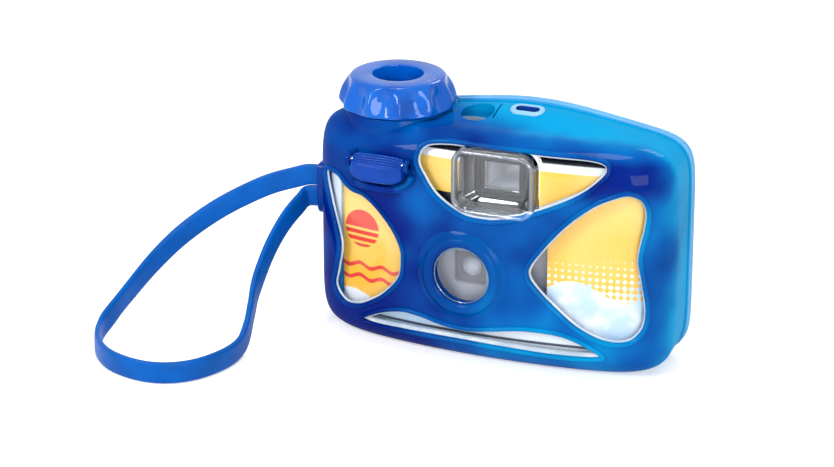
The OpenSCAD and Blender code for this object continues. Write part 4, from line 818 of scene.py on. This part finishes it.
# The ledge along the bottom opening wears the same painted highlight.
ledge = on_front(curve(BOTTOM_KNOTS[:8] + (0, LEDGE_UP), 8), LEDGE_DEPTH)
trim("clear_ledge", loft(swept(ledge, oval(16, 2.6) * LEDGE_ROD, up=FORWARD)), lip_highlight, "clear")
pane_clear = clear("clear_panel", PANE_TINT, PANE_GLOSS)
left_clear = clear("clear_panel_left", PANE_TINT, PANE_GLOSS, frosted=FROST_X)
for name in ("left", "right", "bottom"):
    panel = piece(f"clear_{name}", *sheet(grown(WINDOWS[name], LAP), PANE_DEPTH, PANE_T))
    wear(panel, left_clear if name == "left" else pane_clear, "clear")
    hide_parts(f"window_{name}")
    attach(panel, "case")

# Top window: one clear panel with the viewfinder box moulded in it, a clear block that is sunk in front to a
# funnel with a pane at its back. A round rim runs along the block's front edge.
BOX_FRONT, BOX_BACK, FUNNEL_BACK = FRONT - 0.6, FRONT + 7.4, FRONT + 6.2
RIM_IN, RIM_R = 0.8, 0.75


def glass(name):
    """Solid clear plastic that bends light and lets lamps shine through it without a shadow."""
    material, place = paint(name)
    solid = place.node("BsdfPrincipled", {}, {
        "Base Color": place.noise(0.1).mix((0.96, 0.98, 1.0, 1.0), (0.99, 1.0, 1.0, 1.0)),
        "Roughness": 0.02, "IOR": 1.45, "Transmission Weight": 1.0})
    path = Tone(place.tree, place.tree.nodes.new("ShaderNodeLightPath").outputs["Is Shadow Ray"])
    light = place.node("BsdfTransparent", {}, {"Color": (0.94, 0.97, 1.0, 1.0)})
    return finish(material, place.node("MixShader", {}, {0: path, 1: solid, 2: light}))


finder_glass = glass("finder_clear")
box_edge = rounded(BOX_HALF, BOX_CORNER) + FINDER
panel = piece("clear_top", *sheet(grown(WINDOWS["top"], LAP), PANE_DEPTH, PANE_T, box_edge))
wear(panel, pane_clear, "clear")
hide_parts("window_top")
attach(panel, "case")
box_sections = [rounded(BOX_HALF, BOX_CORNER)] * 2 + [rounded(np.array(BOX_HALF) - 0.5, BOX_CORNER - 0.5)]
box_sections += [rounded((12.4, 9.9), 3.4), rounded((12.0, 9.5), 3.0), rounded((8.5, 7.2), 2.5)]
box_spots = [BOX_BACK, BOX_FRONT + 0.5, BOX_FRONT, BOX_FRONT, BOX_FRONT + 0.35, FUNNEL_BACK]
box_rings = stack(np.array(box_sections) + FINDER, box_spots, FROM_FRONT)
trim("finder_box", loft(box_rings), finder_glass, "clear")
brow = rounded(np.array(BOX_HALF) - RIM_IN, BOX_CORNER - RIM_IN) + FINDER
brow = stack([brow], [BOX_FRONT], FROM_FRONT)[0]
finder_rim = clear("finder_rim", (0.93, 0.96, 1.0, 1.0), 1.9)
brow = swept(brow, oval(16, 2.0) * RIM_R, True, FORWARD)
trim("finder_edge", loft(brow, loop=True), finder_rim, "clear")

# Small windows: the clear disc over the lens, the eyepiece in the back, the counter's pane in the top and the
# frosted pale surround of the slot beside it, each pushed into its opening from inside.
DISC_R, DISC_OUT, DISC_LIP_R = 9.3, 0.5, 0.3
SURROUND, SLOT_IN = np.array((5.75, 3.25)), np.array((3.9, 1.4))
SLOT_STEPS = (
    (SURROUND, 4.0), (SURROUND, -0.1), (SURROUND - 0.3, -0.35),
    (SLOT_IN + 0.3, -0.35), (SLOT_IN, -0.1), (SLOT_IN, 2.6))
for name in ("lens_window", "eyepiece_window", "counter_window"):
    wear(nodes[name], pane_clear)
disc_edge = stack([circle(DISC_R) + LENS], [FRONT - DISC_OUT], FROM_FRONT)[0]
disc_rim = clear("disc_rim", (0.62, 0.86, 1.0, 1.0), 2.0)
disc_lip = swept(disc_edge, oval(12, 2.0) * DISC_LIP_R, True, FORWARD)
trim("clear_edge_lens", loft(disc_lip, loop=True), disc_rim, "clear")


def top_z(x, y):
    """Height of the front shell's top over (x, y): its draft towards the rim, and the hump on it."""
    start = front_at(x) + EDGE_R
    inset = DRAFT * (y - start) / (front_parting - RIM_T - start)
    return HEIGHT - inset + hump(x, y) * (1 - inset / MID) ** 6


slot_rings = []
for half, drop in SLOT_STEPS:
    x, y = (rounded(half, half[1] - 0.01) + SLOT).T
    slot_rings.append(np.stack([x, y, top_z(x, y) - drop], 1))
surround = piece("slot_surround", *loft(np.array(slot_rings)))
material, place = paint("frosted_pale")
east = place.math("MAXIMUM", abs(place.part(0) - SLOT[0]) - SLOT_IN[0] + SLOT_IN[1], 0.0)
north = place.part(1) - SLOT[1]
# Inside the slot the frost is painted dark blue: painted shade in the hollow.
slot_shade = (distance(east, north) - SLOT_IN[1]).ramp(0.25, 0.1)
frost = place.node("BsdfPrincipled", {}, {
    "Base Color": slot_shade.mix(ink(150, 206, 240), ink(6, 60, 150)), "Roughness": 0.3,
    "Normal": place.noise(3.0).bump(0.2, 0.00002)})
veil = place.node("BsdfTransparent", {}, {"Color": ink(150, 210, 245)})
wear(surround, finish(material, place.node("MixShader", {}, {0: 0.8, 1: veil, 2: frost})), "frosted")
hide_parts("indicator_window")
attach(surround, "case")

# Lens baffle: a grey frame in the pocket of the camera's cover, stepped down in a square to a round hole,
# with a small domed glass in the hole in front of the taking lens. Each step is a half width, a corner
# radius and a depth.
BAFFLE = FRONT + 6.6
BAFFLE_STEPS = (
    (12.2, 0.5, 0.8), (12.2, 0.5, 0.0), (5.7, 0.9, 0.0), (5.1, 0.9, 1.7),
    (3.4, 3.39, 1.7), (3.4, 3.39, 2.6), (5.9, 0.9, 2.6), (6.5, 0.9, 0.8))
DOME_R, DOME_FRONT, DOME_RISE, DOME_BACK, DOME_POLE = 3.35, 0.9, 1.2, 2.5, 0.02
# The grey is painted darker with depth into the steps: painted shade in the recess.
material, place = paint("baffle_grey_shaded")
fine = place.noise(*GRAIN)
grey = finish(material, place.node("BsdfPrincipled", {}, {
    "Base Color": place.part(1).ramp(BAFFLE + 0.1, BAFFLE + 1.6).mix(ink(172, 170, 176), ink(122, 121, 126)),
    "Roughness": fine.ramp(0.3, 0.7, 0.36, 0.48), "Normal": fine.bump(0.35, 0.00003)}))
baffle_sections = [rounded((half, half), corner) + LENS for half, corner, _ in BAFFLE_STEPS]
baffle_rings = stack(baffle_sections, [BAFFLE + deep for _, _, deep in BAFFLE_STEPS], FROM_FRONT)
baffle = piece("lens_baffle", *loft(baffle_rings, loop=True), crease=25)
wear(baffle, grey, "grey_cover")
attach(baffle, "case")
bulge = np.linspace(DOME_POLE, 1, 14)[:, None]
dome = np.hstack([DOME_R * bulge, BAFFLE + DOME_FRONT + DOME_RISE * bulge ** 2])
dome = np.vstack([dome, [(DOME_R, BAFFLE + DOME_BACK), (DOME_POLE * DOME_R, BAFFLE + DOME_BACK)]])
# The domed glass is drawn as pale grey plastic: a painted reflection, for the light the lens catches.
bright_lens = moulded("lens_painted_bright", ink(206, 207, 212), 0.12, grain=0.002, shade=0.85, gloss=0.6)
trim("lens_glass", loft(turned(dome, LENS, FROM_FRONT, 64)), bright_lens, "clear")

# Wind-on knob: opaque bright blue plastic, with eleven finger lobes round its side, a flat top with fine
# turned grooves and a deep recess. It is pushed on a shaft that a seal and a clip hold in the boss.
KNOB_R, KNOB_H, LOBES, LOBE, RECESS_R, RECESS_D, BORE_R = 19.4, 10.3, 11, 2.2, 8.3, 6.4, 4.05
GROOVE_RATE, GROOVE_IN, GROOVE_OUT = 5.2, 8.9, 13.9
KNOB_SIDE = np.array([
    (KNOB_R - 2.2, 0, 0), (KNOB_R - 0.4, LOBE * 0.45, 0.5), (KNOB_R, LOBE * 0.9, 1.8),
    (KNOB_R - 1, LOBE * 1.1, KNOB_H * 0.5), (KNOB_R - 2.6, LOBE * 0.5, KNOB_H * 0.78),
    (KNOB_R - 4.0, 0, KNOB_H * 0.95), (KNOB_R - 5.2, 0, KNOB_H)])
KNOB_INSIDE = np.array([
    (RECESS_R + 0.5, 0, KNOB_H), (RECESS_R + 0.1, 0, KNOB_H - 0.15), (RECESS_R, 0, KNOB_H - 0.5),
    (RECESS_R, 0, KNOB_H - RECESS_D), (BORE_R, 0, KNOB_H - RECESS_D), (BORE_R, 0, 0)])
knob_profile = np.vstack([curve(KNOB_SIDE, 6), KNOB_INSIDE])


def lobed(profile, count=352):
    """Rings of a scalloped knob: radius r - lobe |sin(n a / 2)|^1.4 at the angle a, for each (r, lobe, z)."""
    turn = 2 * np.pi * np.arange(count) / count
    r = profile[:, :1] - profile[:, 1:2] * np.abs(np.sin(LOBES * turn / 2)) ** 1.4
    return np.stack([r * np.cos(turn), r * np.sin(turn), np.broadcast_to(profile[:, 2:], r.shape)], -1)


knob = piece("wind_on_knob", *loft(lobed(knob_profile) + (*KNOB, KNOB_LOW), loop=True), crease=40)
material, place = paint("knob_blue")
radius = distance(place.part(0) - KNOB[0], place.part(1) - KNOB[1])
grooved = (radius - GROOVE_IN).ramp(0, 0.3) * (radius - GROOVE_OUT).ramp(0.3, 0)
grooves = (radius * GROOVE_RATE).sine() * grooved
cloud = place.noise(0.08, 2.0)
wear(knob, finish(material, place.node("BsdfPrincipled", {}, {
    "Base Color": cloud.ramp(0.3, 0.7).mix(ink(0, 76, 172), ink(0, 96, 194)), "Roughness": 0.14,
    "Specular IOR Level": 0.1, "Coat Weight": 0.4, "Coat Roughness": 0.04,
    "Normal": (grooves + place.noise(1.5) * 0.3).bump(0.5, 0.00012)})), "knob")
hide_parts("advance_knob")
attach(knob, "wind_on")
wear(nodes["knob_shaft"], moulded("shaft_blue", ink(0, 76, 186), 0.3))

# Shutter lever: a ridged oval thumb lever of deep blue plastic that hinges on a steel pin between the two
# ears. Its section keeps its shape and shrinks about the pin towards both ends.
RIDGES, RIDGE_H, LEVER_END, LEVER_SWELL = 5, 0.32, 0.42, 0.58
NOSE = np.array([
    (-22.72, 63.9), (-22.75, 62), (-22.75, 60), (-22.6, 59.1), (-22.1, 58.6), (-21.5, 58.5), (-20.7, 58.5)])
HEEL = np.array([
    (-20.66, 58.6), (-20.66, 62.2), (-20.4, 62.5), (-18.6, 63.8), (-18.46, 64.1), (-18.46, 66.9),
    (-18.6, 67.2)])
slope_start, slope_end = np.array((-18.9, 67.3)), np.array((-22.4, 64.35))
step = np.linspace(0, 1, 61)[:, None]
slope_out = np.array((slope_end[1] - slope_start[1], slope_start[0] - slope_end[0]))
slope_out = slope_out / np.linalg.norm(slope_out)
ridges = RIDGE_H * np.abs(np.sin(RIDGES * np.pi * step)) * slope_out
slope = slope_start + step * (slope_end - slope_start) + ridges
lever_side = np.vstack([slope, NOSE, HEEL])
u = np.linspace(-1, 1, 61)
shrink = LEVER_END + LEVER_SWELL * (1 - np.abs(u) ** 3) ** (1 / 3)
lever_sections = [PIVOT + (lever_side - PIVOT) * k for k in shrink]
lever = piece("thumb_lever", *loft(stack(lever_sections, LEVER_X + LEVER_HALF * u, FROM_LEFT)), crease=30)
wear(lever, moulded("lever_blue", ink(0, 62, 160), 0.25, grain=0.004, coat=0.12, gloss=0.1), "lever")
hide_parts("shutter_lever")
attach(lever, "lever")

# Plunger spring: two and a half turns of steel wire in the well round the plunger, behind the lever. They
# close up as the plunger is pressed, but the coil is built here at rest only.
SPRING_R, WIRE_R, TURNS, PRESS = 2.05, 0.2, 2.5, 0.83
SPRING_BACK, SPRING_L, SPRING_Z = -15.11, 2.1, 61.5


def steel(name):
    """Drawn steel with fine lines along its length."""
    material, place = paint(name)
    lines = place.node("Mapping", {}, {0: place, "Scale": (0.2, 4.0, 4.0)}).noise(1.5, 3.0)
    return finish(material, place.node("BsdfPrincipled", {}, {
        "Base Color": lines.mix(ink(178, 180, 184), ink(214, 215, 218)), "Metallic": 1.0,
        "Roughness": lines.ramp(0.3, 0.7, 0.18, 0.34)}))


bright_steel = steel("bright_steel")
turn = np.linspace(0, 2 * np.pi * TURNS, 61)
helix = np.stack([
    LEVER_X + SPRING_R * np.cos(turn),
    SPRING_BACK - WIRE_R - (SPRING_L - 2 * WIRE_R) * turn / turn[-1],
    SPRING_Z + SPRING_R * np.sin(turn)], 1)
coil = piece("plunger_coil", *loft(swept(helix, oval(10, 2.0) * WIRE_R, up=(0.0, 1.0, 0.0))))
wear(coil, bright_steel, "steel")
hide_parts("plunger_spring")
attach(coil, "case")
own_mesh(coil)

# Works inside the case, in their plain materials: bright steel pins and springs, black rubber seals, black
# and white moulded plastic, the grey cover behind the lens, the film and its painted cassette, clear lenses.
# The cover and the viewfinder tube also carry painted shade, and the tube painted light.
DIAL, MARKS, MARK_IN, MARK_OUT = (-14.2, 0.55), 30.0, 8.2, 9.8


def dial(name):
    """White dial with a ring of thirty short marks near its edge, where sin(30 a) is high."""
    material, place = paint(name)
    east, north = place.part(0) - DIAL[0], place.part(1) - DIAL[1]
    angle = east.math("ARCTAN2", north, east)
    reach = distance(east, north)
    ring = (reach - MARK_IN).ramp(0.0, 0.1) * (reach - MARK_OUT).ramp(0.1, 0.0)
    mark = ((angle * MARKS).sine() - 0.8).ramp(0.0, 0.05) * ring
    return finish(material, place.node("BsdfPrincipled", {}, {
        "Base Color": mark.mix(ink(240, 242, 244), ink(60, 66, 76)), "Roughness": 0.4}))


def cover(name):
    """Grey moulded cover, black above the lens: painted shade, so that the viewfinder shows dark behind its
    glass.
    """
    material, place = paint(name)
    fine = place.noise(*GRAIN)
    grey = place.noise(0.09, 3.0).ramp(0.35, 0.65).mix(ink(160, 159, 164), ink(178, 177, 181))
    return finish(material, place.node("BsdfPrincipled", {}, {
        # Black above the lens: painted shade.
        "Base Color": place.part(2).ramp(49.6, 50.4).mix(grey, ink(20, 20, 23)),
        "Roughness": fine.ramp(0.3, 0.7, 0.4, 0.52), "Normal": fine.bump(0.35, 0.00004)}))


def barrel(name):
    """Viewfinder tube: near black at its front end, painted shade, and grey further in, painted light as
    if from the eyepiece.
    """
    material, place = paint(name)
    return finish(material, place.node("BsdfPrincipled", {}, {
        # Dark to grey along the tube: painted shade and painted light.
        "Base Color": place.part(1).ramp(-10.5, -3.0).mix(ink(34, 34, 38), ink(176, 176, 182)),
        "Roughness": place.noise(*GRAIN).ramp(0.3, 0.7, 0.42, 0.58)}))


black = moulded("black_plastic_matt", ink(26, 26, 29), 0.5, shade=0.7)
white = moulded("white_plastic_satin", ink(226, 227, 224), 0.4, shade=0.92)
GROUPS = (
    (bright_steel, ("knob_clip", "lever_pin", "release_spring", "striker_spring")),
    (moulded("seal_rubber", ink(18, 18, 20), 0.7), ("knob_seal", "plunger_seal")),
    (white, ("plunger", "sprocket", "release_arm", "striker")),
    (black, ("camera_chassis", "camera_back_cover", "cassette_caps", "cassette_spool", "supply_spool",
             "thumbwheel", "shutter_blade", "aperture_plate", "lens_retainer")),
    (barrel("tube_grey"), ("viewfinder_tube",)),
    (cover("grey_cover_grain"), ("camera_front_cover",)),
    (moulded("cassette_paint", ink(214, 158, 40), 0.3, coat=0.3), ("cassette_shell",)),
    (moulded("film_base", ink(92, 70, 76), 0.15, shade=0.9, gloss=0.5), ("film_strip", "film_roll")),
    (dial("counter_marks"), ("counter_dial",)),
    (glass("lens_clear"), ("taking_lens", "viewfinder_front_lens", "viewfinder_rear_lens")),
)
for material, names in GROUPS:
    for name in names:
        wear(nodes[name], material)
